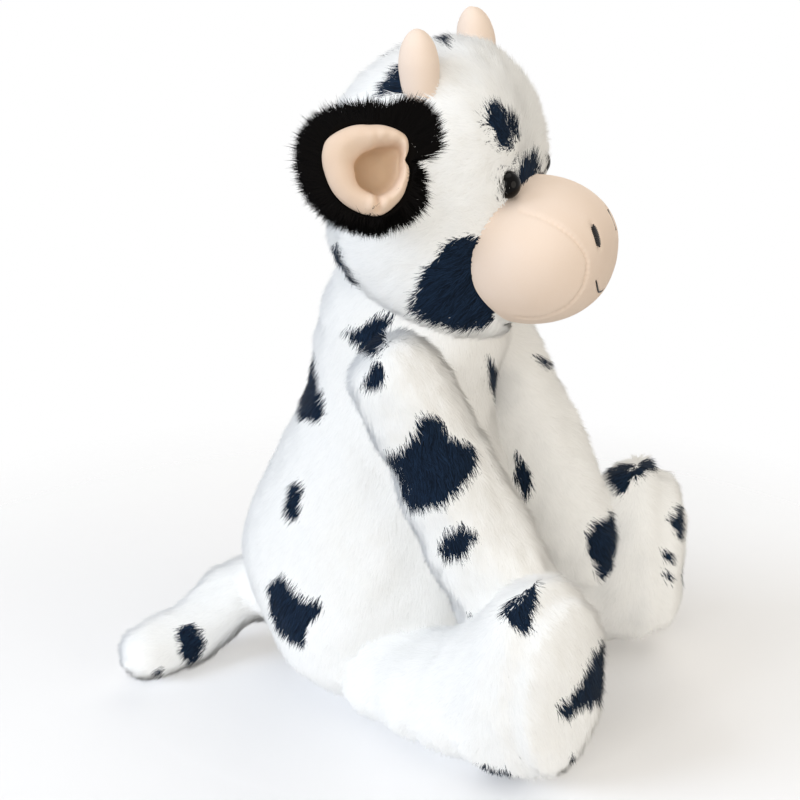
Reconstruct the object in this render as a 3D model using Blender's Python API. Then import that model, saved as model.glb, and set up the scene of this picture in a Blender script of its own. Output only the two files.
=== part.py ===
"""Seated plush cow: sewn skins over fibre stuffing, with pellet bags, plastic eyes and soft joints.

Metres, +Z up. The cow faces -Y, its left side is +X, and it sits on the plane z = 0.
The origin is on the flat of the seat. Every soft skin is as large as the tips of its pile.
"""
import bmesh
import bpy
from math import cos, pi, radians, sin
from mathutils import Matrix, Vector
from mathutils.bvhtree import BVHTree

# Fabric, seams and fits
FABRIC = 0.0024
VELBOA = 0.0016
SEAM_GAP = 0.0003
STUFFING_FIT = 0.0008
FLOOR_PRESS = 0.0005
CUT_OVERRUN = 0.030

# Torso
HIP_WIDTH = 0.121
HIP_DEPTH = 0.122
HIP_BACKSET = 0.007
NECK_HEIGHT = 0.158
NECK_RADIUS = 0.040
NECK_FORWARD = 0.006
SEAT_BAG_WIDTH = 0.048
SEAT_BAG_DEPTH = 0.040
SEAT_BAG_HEIGHT = 0.024
SEAT_BAG_BACKSET = 0.006

# Head, set from the middle of the neck
HEAD_WIDTH = 0.103
HEAD_DEPTH = 0.088
HEAD_HEIGHT = 0.118
HEAD_FORWARD = 0.011
HEAD_DROP = 0.003
EYE_RADIUS = 0.0053
EYE_RISE = 0.0030
EYE_STEM_RADIUS = 0.0022
EYE_STEM_LENGTH = 0.010
WASHER_RADIUS = 0.0075
WASHER_THICKNESS = 0.0014

# Muzzle, set from the middle of the head
MUZZLE_WIDTH = 0.078
MUZZLE_DEPTH = 0.064
MUZZLE_HEIGHT = 0.059
MUZZLE_FORWARD = 0.041
MUZZLE_DROP = 0.0245
NOSTRIL_HEIGHT = 0.0085
NOSTRIL_WIDTH = 0.0040
STITCH_RISE = 0.0012
MOUTH_WIDTH = 0.027
MOUTH_SAG = 0.008
MOUTH_THREAD = 0.0010
MOUTH_DROP = 0.0150
# Below 1 the nose is blunter than an egg
MUZZLE_BLUNTNESS = 0.82

# Horns
HORN_LENGTH = 0.0172
HORN_THICKNESS = 0.0156
HORN_ROOT = 0.010
HORN_LEAN = radians(7)

# Ears
EAR_POINTS = 7
EAR_LENGTH = 0.054
EAR_WIDTH = 0.058
EAR_PILE = 0.0100
EAR_LINING = 0.0020
LINING_FIT = 0.0007

# Arms
SHOULDER_HEIGHT = 0.150
SHOULDER_FORWARD = 0.019
SHOULDER_SPREAD = 0.048
ARM_LENGTH = 0.104
ARM_THICKNESS = 0.046
ARM_OPENING = 0.007
ARM_SLOPE = radians(26)
ARM_TOE_IN = radians(5)
# Room in which a resting arm can start to swing
ARM_REST_GAP = 0.0030
# How far the arm swings up, and in how many steps it is cleared from the leg below it
ARM_SWING = radians(28)
ARM_SWING_STEPS = 4

# Legs
LEG_THICKNESS = 0.048
LEG_LENGTH = 0.079
FOOT_WIDTH = 0.062
FOOT_HEIGHT = 0.088
SOLE_BULGE = 0.013
LEG_SPLAY = radians(20)
HIP_SPREAD = 0.046
HIP_FORWARD = 0.020
FOOT_BAG_RADIUS = 0.019
FOOT_BAG_THICKNESS = 0.016

# Tail
TAIL_THICKNESS = 0.033
TAIL_LENGTH = 0.0645
TAIL_HEIGHT = 0.029
TAIL_SINK = 0.007
TAIL_BEND = radians(65)

# Faces round each form and rings along it
BODY_SEGMENTS = 20
LIMB_SEGMENTS = 16
ROOT_SEGMENTS = 20
CAP_RINGS = 3
NECK_RINGS = 4
MUZZLE_RINGS = 10
TAIL_STEPS = 2
HOLE_SEGMENTS = 12
HORN_SEGMENTS = 10
MOUTH_POINTS = 7
MOUTH_SEGMENTS = 6

# Height, half width, front reach and back reach, as shares of the neck height,
# the hip's half width and the hip's half depth
TORSO_SHARES = (
    (0.03, 0.74, 0.60, 0.50),
    (0.10, 0.90, 0.80, 0.72),
    (0.22, 0.99, 0.94, 0.91),
    (0.38, 1.00, 0.95, 1.00),
    (0.54, 0.92, 0.87, 0.88),
    (0.70, 0.80, 0.78, 0.66),
    (0.85, 0.71, 0.77, 0.50),
)
# Height, half width, front reach and back reach, as shares of the head's height,
# half width and half depth
HEAD_SHARES = (
    (0.035, 0.58, 1.02, 0.20),
    (0.13, 0.84, 1.14, 0.70),
    (0.26, 0.95, 1.10, 0.98),
    (0.42, 1.00, 1.03, 1.03),
    (0.58, 1.00, 1.00, 1.02),
    (0.73, 0.93, 0.93, 0.93),
    (0.86, 0.75, 0.76, 0.72),
    (0.955, 0.44, 0.47, 0.36),
)
HEAD_POLE_SHARES = (0.42, 0.10)
# Place along the arm and radius, as shares of its length and half its thickness
ARM_SHARES = ((0.0, 0.86), (0.25, 0.89), (0.50, 0.96), (0.75, 1.0), (1.0, 0.97))
# Place along the leg, half width, top and bottom, as shares of its length, half the foot's
# width, the foot's height and the foot's height
LEG_SHARES = (
    (0.20, 0.88, 0.54, 0.0),
    (0.42, 0.94, 0.62, 0.0),
    (0.60, 0.96, 0.78, 0.0),
    (0.80, 1.00, 0.96, 0.0),
    (0.93, 0.97, 0.98, 0.02),
    (1.0, 0.88, 0.92, 0.06),
)
SOLE_SHARE = 0.96
# Size of the flat seat, as a share of the lowest ring
SEAT_SHARE = 0.72
# Place along the tail and radius, as shares of its length and half its thickness
TAIL_SHARES = ((0.0, 1.0), (0.30, 0.90), (0.65, 0.79), (1.0, 0.77))
# Place along the ear, half width, wall, curl and reach of the lining round the curl, as
# shares of the ear's length, half its width, its pile, half a turn and the curl
EAR_SHARES = (
    (0.0, 0.38, 0.85, 0.66, 0.80),
    (0.14, 0.62, 1.0, 0.52, 0.80),
    (0.32, 0.86, 1.0, 0.40, 0.80),
    (0.55, 0.98, 1.0, 0.34, 0.76),
    (0.76, 0.90, 1.0, 0.31, 0.60),
    (0.90, 0.70, 0.90, 0.30, 0.25),
    (0.98, 0.44, 0.70, 0.28, 0.0),
)
# Where the tail has turned to its full bend, and where it has come down to the floor
TAIL_TURN_SHARE = 0.35
TAIL_FALL_SHARE = 0.55
# Place along the horn and radius, as shares of its length and half its thickness
HORN_SHARES = ((0.0, 0.90), (0.30, 1.0), (0.60, 0.86), (0.82, 0.60))

# Directions in which the small pieces sit on the head and on the muzzle, from their middles
EYE_TURN = radians(31)
EYE_TILT = radians(8)
HORN_TURN = radians(83)
HORN_TILT = radians(56)
EAR_TURN = radians(70)
EAR_TILT = radians(19)
EAR_SWEEP = radians(30)
EAR_DROOP = radians(6)
EAR_FACE_UP = radians(19)
NOSTRIL_TURN = radians(21)
NOSTRIL_TILT = radians(20)

# Colours
PILE_WHITE = (0.84, 0.85, 0.86, 1.0)
PILE_BLACK = (0.012, 0.012, 0.014, 1.0)
PEACH = (0.89, 0.67, 0.52, 1.0)
FIBRE = (0.90, 0.90, 0.88, 1.0)
PELLET_CLOTH = (0.72, 0.70, 0.64, 1.0)
THREAD = (0.015, 0.013, 0.013, 1.0)
EYE_PLASTIC = (0.020, 0.013, 0.010, 1.0)
WASHER_PLASTIC = (0.55, 0.56, 0.58, 1.0)

NECK = Vector((0, -NECK_FORWARD, NECK_HEIGHT))
HEAD_BOTTOM = NECK + Vector((0, -HEAD_FORWARD, HEAD_DROP))
HEAD = HEAD_BOTTOM + Vector((0, 0, HEAD_HEIGHT / 2))
MUZZLE = HEAD + Vector((0, -MUZZLE_FORWARD, -MUZZLE_DROP))
UP = Vector((0, 0, 1))
SIDES = ((1, "left"), (-1, "right"))
# Angle of the hole in a limb's root through which it is filled
ROOT_OPENING = radians(24)


def clear_scene():
    for thing in list(bpy.data.objects):
        bpy.data.objects.remove(thing, do_unlink=True)


def finish(name, colour, roughness, metallic=0.0):
    look = bpy.data.materials.new(name)
    look.use_nodes = True
    shader = look.node_tree.nodes["Principled BSDF"]
    shader.inputs["Base Color"].default_value = colour
    shader.inputs["Roughness"].default_value = roughness
    shader.inputs["Metallic"].default_value = metallic
    look.diffuse_color = colour
    return look


def place(name, mesh, colour=None, roughness=0.9, about=None):
    """Adds a mesh as an object whose origin is the point that it turns about."""
    if about is not None:
        mesh.transform(Matrix.Translation(-about))
    thing = bpy.data.objects.new(name, mesh)
    if about is not None:
        thing.location = about
    bpy.context.scene.collection.objects.link(thing)
    mesh.shade_smooth()
    if colour is None:
        thing.hide_render = True
        thing.display_type = 'WIRE'
    else:
        mesh.materials.append(finish(name, colour, roughness))
    return thing


def cut(thing, *knives):
    for knife in knives:
        step = thing.modifiers.new("cut " + knife.name, 'BOOLEAN')
        step.operation = 'DIFFERENCE'
        step.solver = 'EXACT'
        step.use_self = True
        step.object = knife
    return thing


def line_with(thing, thickness):
    """Gives a closed or open form a wall of cloth that lies inside it."""
    step = thing.modifiers.new("cloth", 'SOLIDIFY')
    step.thickness = thickness
    step.offset = -1
    step.use_rim = True
    return thing


def eased(rows, steps):
    """Adds rows between the given ones along a smooth curve through them."""
    padded = [rows[0], *rows, rows[-1]]
    result = []
    for i in range(1, len(rows)):
        before, start, end, after = padded[i - 1:i + 3]
        for step in range(steps):
            t = step / steps
            result.append(tuple(
                0.5 * (2 * b + (c - a) * t + (2 * a - 5 * b + 4 * c - d) * t ** 2
                       + (3 * b - a - 3 * c + d) * t ** 3)
                for a, b, c, d in zip(before, start, end, after)))
    result.append(tuple(rows[-1]))
    return result


def ellipse(middle, across, along, segments):
    """One ring of points, half as wide as the vectors across and along."""
    turns = (2 * pi * i / segments for i in range(segments))
    return [middle + across * cos(t) + along * sin(t) for t in turns]


def loft(name, rings, swell=0.0, start_open=False, looped=False):
    """Bridges rings of points into one skin. A ring of one point closes an end.

    The finished skin can swell, or shrink, square to its own surface.
    """
    shape = bmesh.new()
    rows = [[shape.verts.new(point) for point in ring] for ring in rings]
    pairs = list(zip(rows, rows[1:]))
    if looped:
        pairs.append((rows[-1], rows[0]))
    for low, high in pairs:
        count = max(len(low), len(high))
        for i in range(count):
            j = (i + 1) % count
            if len(low) == 1:
                corners = (low[0], high[j], high[i])
            elif len(high) == 1:
                corners = (low[i], low[j], high[0])
            else:
                corners = (low[i], low[j], high[j], high[i])
            shape.faces.new(corners)
    if not start_open and not looped:
        bmesh.ops.holes_fill(shape, edges=[e for e in shape.edges if e.is_boundary])
    bmesh.ops.recalc_face_normals(shape, faces=shape.faces[:])
    shape.normal_update()
    for vertex, normal in [(v, v.normal.copy()) for v in shape.verts]:
        vertex.co += normal * swell
    mesh = bpy.data.meshes.new(name)
    shape.to_mesh(mesh)
    shape.free()
    return mesh


def ball(name, centres, radii, segments):
    """One mesh of separate balls."""
    shape = bmesh.new()
    for centre, radius in zip(centres, radii):
        bmesh.ops.create_uvsphere(shape, u_segments=segments, v_segments=segments // 2,
                                  radius=radius, matrix=Matrix.Translation(centre))
    mesh = bpy.data.meshes.new(name)
    shape.to_mesh(mesh)
    shape.free()
    return mesh


def turned(name, profile, frame, segments):
    """Spins a profile of (radius, height) about its axis and stands it in a frame."""
    rings = []
    for radius, height in profile:
        middle = Vector((0, 0, height))
        if radius == 0:
            rings.append([middle])
        else:
            rings.append(ellipse(middle, Vector((radius, 0, 0)), Vector((0, radius, 0)), segments))
    mesh = loft(name, rings)
    mesh.transform(frame)
    return mesh


def frame_on(point, normal, hint=UP):
    """A frame whose +Z leaves a surface at a point, and whose +Y leans towards the hint."""
    across = hint.cross(normal).normalized()
    upward = normal.cross(across)
    return Matrix((
        (across.x, upward.x, normal.x, point.x),
        (across.y, upward.y, normal.y, point.y),
        (across.z, upward.z, normal.z, point.z),
        (0, 0, 0, 1)))


def holding_radius(radius, segments):
    """Radius of a faceted ball that just holds a round one."""
    return radius / cos(pi / segments) ** 2


def running_radius(radius, segments):
    """Radius of a faceted hollow in which a round ball turns freely."""
    return holding_radius(radius + SEAM_GAP, segments)


def capped(rows, out_start, out_end, start_open=0.0):
    """Rounds both ends of rows of (middle, across, along). Opens the first by a share."""
    def cap(row, outward, low):
        middle, across, along = row
        result = []
        for i in range(1, CAP_RINGS + 1):
            a = low * i / CAP_RINGS
            result.append((middle + outward * sin(a), across * cos(a), along * cos(a)))
        return result
    first = cap(rows[0], out_start, pi / 2 - start_open)[::-1]
    last = cap(rows[-1], out_end, pi / 2)
    return first + rows + last


def rings_of(rows, segments):
    rings = []
    for middle, across, along in rows:
        if across.length < SEAM_GAP:
            rings.append([middle])
        else:
            rings.append(ellipse(middle, across, along, segments))
    return rings


def seat_middle():
    front_share, back_share = TORSO_SHARES[0][2:]
    return Vector((0, HIP_BACKSET + (back_share - front_share) * HIP_DEPTH / 4, 0))


def torso_form(name, grow=0.0, detail=1):
    """The body: a pear that leans forward into a round neck."""
    rows = []
    half_width, half_depth = HIP_WIDTH / 2, HIP_DEPTH / 2
    table = [(h * NECK_HEIGHT, w * half_width, HIP_BACKSET - f * half_depth,
              HIP_BACKSET + b * half_depth) for h, w, f, b in TORSO_SHARES]
    table.append((NECK_HEIGHT, NECK_RADIUS, NECK.y - NECK_RADIUS, NECK.y + NECK_RADIUS))
    low = table[0]
    base = seat_middle() - UP * FLOOR_PRESS
    rows.append((base, Vector(), Vector()))
    rows.append((base, Vector((low[1] * SEAT_SHARE, 0, 0)),
                 Vector((0, (low[3] - low[2]) / 2 * SEAT_SHARE, 0))))
    for z, width, front, back in table:
        rows.append((Vector((0, (front + back) / 2, z)), Vector((width, 0, 0)),
                     Vector((0, (back - front) / 2, 0))))
    for i in range(1, NECK_RINGS + 1):
        a = pi / 2 * i / NECK_RINGS
        radius = NECK_RADIUS * cos(a)
        rows.append((NECK + UP * NECK_RADIUS * sin(a), Vector((radius, 0, 0)),
                     Vector((0, radius, 0))))
    return loft(name, rings_of(rows, BODY_SEGMENTS // detail), grow)


def head_form(name, grow=0.0, detail=1):
    half_width, half_depth = HEAD_WIDTH / 2, HEAD_DEPTH / 2
    rows = []
    table = [(h * HEAD_HEIGHT, w * half_width, -f * half_depth, b * half_depth)
             for h, w, f, b in HEAD_SHARES]
    low_pole, high_pole = HEAD_POLE_SHARES
    rows.append((HEAD_BOTTOM + Vector((0, -low_pole * half_depth, 0)), Vector(), Vector()))
    for z, width, front, back in table:
        rows.append((HEAD_BOTTOM + Vector((0, (front + back) / 2, z)),
                     Vector((width, 0, 0)), Vector((0, (back - front) / 2, 0))))
    rows.append((HEAD_BOTTOM + Vector((0, -high_pole * half_depth, HEAD_HEIGHT)),
                 Vector(), Vector()))
    return loft(name, rings_of(rows, BODY_SEGMENTS // detail), grow)


def muzzle_form(name, grow=0.0, detail=1):
    """A round nose, blunter in front, lofted from the head towards -Y."""
    rows = []
    half_depth = MUZZLE_DEPTH / 2
    for i in range(MUZZLE_RINGS + 1):
        a = pi * i / MUZZLE_RINGS
        bulge = sin(a) ** MUZZLE_BLUNTNESS
        middle = MUZZLE + Vector((0, half_depth * cos(a), 0))
        rows.append((middle, Vector((MUZZLE_WIDTH / 2 * bulge, 0, 0)),
                     Vector((0, 0, MUZZLE_HEIGHT / 2 * bulge))))
    return loft(name, rings_of(rows, BODY_SEGMENTS // detail), grow)


def shoulder(side):
    return Vector((side * SHOULDER_SPREAD, -SHOULDER_FORWARD, SHOULDER_HEIGHT))


def arm_direction(side):
    return Vector((-side * sin(ARM_TOE_IN), -cos(ARM_TOE_IN) * sin(ARM_SLOPE),
                   -cos(ARM_TOE_IN) * cos(ARM_SLOPE)))


def arm_form(name, side, grow=0.0, detail=1):
    along = arm_direction(side)
    across = along.cross(UP).normalized()
    deep = across.cross(along)
    rows = []
    for place_share, radius_share in ARM_SHARES:
        radius = radius_share * ARM_THICKNESS / 2
        rows.append((shoulder(side) + along * place_share * ARM_LENGTH, across * radius,
                     deep * radius))
    first, last = rows[0][1].length, rows[-1][1].length
    rows = capped(rows, -along * first, along * last)
    return loft(name, rings_of(rows, LIMB_SEGMENTS // detail), grow)


def hip(side):
    return Vector((side * HIP_SPREAD, -HIP_FORWARD, LEG_THICKNESS / 2 - FLOOR_PRESS))


def leg_direction(side):
    return Vector((side * sin(LEG_SPLAY), -cos(LEG_SPLAY), 0))


def leg_form(name, side, grow=0.0, detail=1, opening=0.0):
    """A leg that lies forward on the floor and widens into an upright foot."""
    along = leg_direction(side)
    across = along.cross(UP)
    table = [(0, LEG_THICKNESS / 2, LEG_THICKNESS, 0)]
    table += [(s * LEG_LENGTH, w * FOOT_WIDTH / 2, t * FOOT_HEIGHT, b * FOOT_HEIGHT)
              for s, w, t, b in LEG_SHARES]
    rows = []
    for reach, width, top, bottom in table:
        middle = hip(side) + along * reach
        middle.z = (top + bottom) / 2 - FLOOR_PRESS
        rows.append((middle, across * width, UP * (top - bottom) / 2))
    root = rows[0][1].length
    rows = capped(rows, -along * root, along * SOLE_BULGE, opening)
    return loft(name, rings_of(rows, LIMB_SEGMENTS // detail), grow, opening > 0)


def tail_root():
    return Vector((0, HIP_BACKSET + HIP_DEPTH / 2 - TAIL_SINK, TAIL_HEIGHT))


def tail_path(share):
    """Where the tail's middle is in plan, from its root, and which way it heads."""
    bent = min(share, TAIL_TURN_SHARE)
    turn = TAIL_BEND * bent / TAIL_TURN_SHARE
    bend_radius = TAIL_TURN_SHARE * TAIL_LENGTH / TAIL_BEND
    heading = Vector((-sin(turn), cos(turn), 0))
    place_now = Vector((cos(turn) - 1, sin(turn), 0)) * bend_radius
    return place_now + heading * (share - bent) * TAIL_LENGTH, heading


def tail_form(name, grow=0.0, detail=1, opening=0.0):
    """A tail that leaves the seat, comes down to the floor and turns to the right."""
    rows = []
    for reach_share, radius_share in eased(TAIL_SHARES, TAIL_STEPS):
        reach, heading = tail_path(reach_share)
        radius = radius_share * TAIL_THICKNESS / 2
        fall = min(1, reach_share / TAIL_FALL_SHARE)
        fall = fall * fall * (3 - 2 * fall)
        middle = tail_root() + reach + UP * (radius - FLOOR_PRESS - TAIL_HEIGHT) * fall
        rows.append((middle, heading.cross(UP) * radius, UP * radius))
    first, last = rows[0][1].length, rows[-1][1].length
    rows = capped(rows, Vector((0, -first, 0)), heading * last, opening)
    return loft(name, rings_of(rows, LIMB_SEGMENTS // detail), grow, opening > 0)


def towards(side, turn, tilt):
    """A direction turned from the front towards one side, and tilted up."""
    return Vector((side * sin(turn) * cos(tilt), -cos(turn) * cos(tilt), sin(tilt)))


def surface_of(mesh):
    return BVHTree.FromPolygons([v.co for v in mesh.vertices], [f.vertices for f in mesh.polygons])


def horn_form(name, side, base, grow=0.0):
    """A small horn: a drop with a round tip that stands nearly upright."""
    rise = Vector((-side * sin(HORN_LEAN), sin(HORN_LEAN), cos(HORN_LEAN))).normalized()
    across = rise.cross(Vector((0, 1, 0))).normalized()
    deep = rise.cross(across)
    rows = []
    for reach_share, radius_share in ((0, HORN_SHARES[0][1]), *HORN_SHARES):
        radius = radius_share * HORN_THICKNESS / 2
        rows.append((base + rise * reach_share * HORN_LENGTH, across * radius, deep * radius))
    rows[0] = (base - rise * HORN_ROOT, *rows[0][1:])
    tip = (1 - HORN_SHARES[-1][0]) * HORN_LENGTH
    rows = capped(rows, rise, rise * tip)[CAP_RINGS:]
    return loft(name, rings_of(rows, HORN_SEGMENTS), grow)


def ear_axes(side):
    """Along the ear from its root, out of its face, and across it."""
    along = Vector((side * sin(EAR_SWEEP) * cos(EAR_DROOP), cos(EAR_SWEEP) * cos(EAR_DROOP),
                    -sin(EAR_DROOP)))
    face = Vector((side * cos(EAR_SWEEP), -sin(EAR_SWEEP), 0)) * cos(EAR_FACE_UP)
    face = face + UP * sin(EAR_FACE_UP)
    face = (face - along * face.dot(along)).normalized()
    return along, face, along.cross(face)


def crescent(middle, face, across, radius, wall, curl, points):
    """A ring round a curled strip: along its hollow side, then back along its outer side."""
    ring = []
    for i in range(points):
        t = curl * (2 * i / (points - 1) - 1)
        ring.append(middle + across * radius * sin(t) + face * radius * (1 - cos(t)))
    outer = radius + wall
    edge = (radius + wall / 2)
    lip = curl + wall / 2 / edge
    ring.append(middle + across * edge * sin(lip) + face * (radius - edge * cos(lip)))
    for i in range(points):
        t = curl * (1 - 2 * i / (points - 1))
        ring.append(middle + across * outer * sin(t) + face * (radius - outer * cos(t)))
    ring.append(middle - across * edge * sin(lip) + face * (radius - edge * cos(lip)))
    return ring


def ear_form(name, side, root, lining=False):
    """A curled cup that is pinched at its root, or the thin lining that lies in it."""
    along, face, across = ear_axes(side)
    rings = []
    for place_share, width_share, wall_share, curl_share, lining_share in EAR_SHARES:
        curl = curl_share * pi
        radius = max(width_share * EAR_WIDTH / 2 - EAR_PILE / 2, EAR_PILE / 4) / curl
        middle = root + along * (place_share * EAR_LENGTH) + face * EAR_PILE
        wall = wall_share * EAR_PILE
        if lining:
            # The hollow is faceted, so the lining keeps clear of the middle of its faces
            wall = EAR_LINING
            clear = radius * cos(curl / (EAR_POINTS - 1)) - LINING_FIT - wall
            middle = middle + face * (radius - clear)
            radius = clear
            curl = curl * lining_share
        if curl > 0:
            rings.append(crescent(middle, face, across, radius, wall, curl, EAR_POINTS))
    return loft(name, rings)


def box(name, middle, size, turn=0.0):
    shape = bmesh.new()
    bmesh.ops.create_cube(shape, size=1)
    mesh = bpy.data.meshes.new(name)
    shape.to_mesh(mesh)
    shape.free()
    mesh.transform(Matrix.Translation(middle) @ Matrix.Rotation(turn, 4, 'Z')
                   @ Matrix.Diagonal(Vector((*size, 1))))
    return mesh


def bag_form(name, middle, size, grow=0.0, open_down=0.0):
    """A small cloth bag of pellets, round in plan. open_down extends it into a pocket."""
    half = [length / 2 + grow for length in size]
    rows = []
    for i in range(2 * CAP_RINGS + 1):
        a = pi * (i / (2 * CAP_RINGS) - 1 / 2)
        wide = 1 if open_down and a < 0 else cos(a)
        low = -open_down if open_down and i == 0 else half[2] * sin(a)
        rows.append((middle + UP * low, Vector((half[0] * wide, 0, 0)),
                     Vector((0, half[1] * wide, 0))))
    return loft(name, rings_of(rows, HOLE_SEGMENTS))


def sole_plane(side, share, thickness):
    """A block across the leg, starting at a share of its length and going on for its thickness."""
    along = leg_direction(side)
    middle = hip(side) + along * (share * LEG_LENGTH + thickness / 2)
    size = (FOOT_WIDTH * 2, abs(thickness), FOOT_HEIGHT * 3)
    return middle, size, side * LEG_SPLAY


def leg_met(side, word, step):
    """The leg where the arm meets it at a step of its swing, turned back with the arm."""
    turn = Matrix.Rotation(ARM_SWING * step / ARM_SWING_STEPS, 4, 'X')
    pivot = Matrix.Translation(shoulder(side))
    name = f"{word}_leg_knife_{step}"
    form = leg_form(name, side, ARM_REST_GAP)
    form.transform(pivot @ turn @ pivot.inverted())
    return place(name, form)


def make_knives():
    """The shapes that clear one sewn piece from another."""
    knives = {}
    roots = [shoulder(1), shoulder(-1), hip(1), hip(-1), tail_root()]
    arm_root = ARM_SHARES[0][1] * ARM_THICKNESS / 2
    tail_end = TAIL_SHARES[0][1] * TAIL_THICKNESS / 2
    radii = [arm_root, arm_root, LEG_THICKNESS / 2, LEG_THICKNESS / 2, tail_end]
    room = [holding_radius(radius, ROOT_SEGMENTS) for radius in radii]
    sockets = [running_radius(radius, ROOT_SEGMENTS) for radius in room]
    knives["floor"] = place("floor_knife", box(
        "floor_knife", Vector((0, 0, -CUT_OVERRUN / 2)),
        (HIP_WIDTH * 4, HIP_DEPTH * 4, CUT_OVERRUN)))
    knives["sockets"] = place("socket_knife", ball("socket_knife", roots, sockets, ROOT_SEGMENTS))
    spare = place("root_room_knife", ball("root_room_knife", roots, room, ROOT_SEGMENTS))
    knives["torso"] = cut(place("torso_knife", torso_form("torso_knife", SEAM_GAP)), spare)
    knives["chest"] = cut(place("chest_knife", torso_form("chest_knife", ARM_REST_GAP)), spare)
    neck_room = running_radius(NECK_RADIUS, BODY_SEGMENTS)
    knives["neck"] = place("neck_knife", ball("neck_knife", [NECK], [neck_room], BODY_SEGMENTS))
    knives["head"] = place("head_knife", head_form("head_knife", SEAM_GAP))
    knives["muzzle"] = place("muzzle_knife", muzzle_form("muzzle_knife", SEAM_GAP))
    for side, word in SIDES:
        knives[word + "_legs"] = [leg_met(side, word, step) for step in range(ARM_SWING_STEPS + 1)]
    return knives


def make_torso(knives):
    skin = place("torso_skin", torso_form("torso_skin"), PILE_WHITE, about=Vector())
    cut(line_with(skin, FABRIC), knives["sockets"], knives["floor"])
    inset = FABRIC + STUFFING_FIT
    size = (SEAT_BAG_WIDTH, SEAT_BAG_DEPTH, SEAT_BAG_HEIGHT)
    middle = seat_middle() + Vector((0, SEAT_BAG_BACKSET, inset + SEAT_BAG_HEIGHT / 2))
    pocket = place("seat_bag_pocket", bag_form("seat_bag_pocket", middle, size, STUFFING_FIT,
                                               CUT_OVERRUN))
    stuffing = place("torso_stuffing", torso_form("torso_stuffing", -inset, 2), FIBRE)
    cut(stuffing, knives["sockets"], pocket)
    place("seat_pellet_bag", bag_form("seat_pellet_bag", middle, size), PELLET_CLOTH)


def make_head(knives, head_tree, muzzle_tree):
    """The head with its muzzle, eyes and stitched nose and mouth. It turns on the neck."""
    skin = place("head_skin", head_form("head_skin"), PILE_WHITE, about=NECK)
    line_with(skin, FABRIC)
    inset = FABRIC + STUFFING_FIT
    stuffing = place("head_stuffing", head_form("head_stuffing", -inset, 2), FIBRE, about=NECK)
    cut(skin, knives["neck"])
    cut(stuffing, knives["neck"])
    for side, word in SIDES:
        make_eye(side, word, head_tree, skin, stuffing)

    muzzle = place("muzzle_skin", muzzle_form("muzzle_skin"), PEACH, about=NECK)
    cut(line_with(muzzle, VELBOA), knives["head"])
    filling = muzzle_form("muzzle_stuffing", -(VELBOA + STUFFING_FIT), 2)
    cut(place("muzzle_stuffing", filling, FIBRE, about=NECK), knives["head"])
    for side, word in SIDES:
        point, normal, *_ = muzzle_tree.ray_cast(MUZZLE, towards(side, NOSTRIL_TURN, NOSTRIL_TILT))
        bead = ball("nostril", [Vector()], [1], HOLE_SEGMENTS)
        bead.transform(Matrix.Diagonal((NOSTRIL_WIDTH / 2, NOSTRIL_HEIGHT / 2, STITCH_RISE, 1)))
        bead.transform(frame_on(point, normal))
        cut(place(word + "_nostril", bead, THREAD, about=NECK), knives["muzzle"])
    cut(place("mouth_stitch", mouth_form(muzzle_tree), THREAD, about=NECK), knives["muzzle"])


def mouth_form(muzzle_tree):
    """A line of satin stitch that curves up at both ends, half sunk in the cloth."""
    rows = []
    low = MUZZLE.z - MOUTH_DROP
    for i in range(MOUTH_POINTS):
        share = 2 * i / (MOUTH_POINTS - 1) - 1
        start = Vector((share * MOUTH_WIDTH / 2, MUZZLE.y, low + MOUTH_SAG * share * share))
        point, *_ = muzzle_tree.ray_cast(start, Vector((0, -1, 0)))
        rows.append(point)
    rings = []
    for i, point in enumerate(rows):
        ahead = (rows[min(i + 1, len(rows) - 1)] - rows[max(i - 1, 0)]).normalized()
        across = ahead.cross(UP).normalized()
        rings.append(ellipse(point, across * MOUTH_THREAD, across.cross(ahead) * MOUTH_THREAD,
                             MOUTH_SEGMENTS))
    return loft("mouth_stitch", rings)


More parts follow.
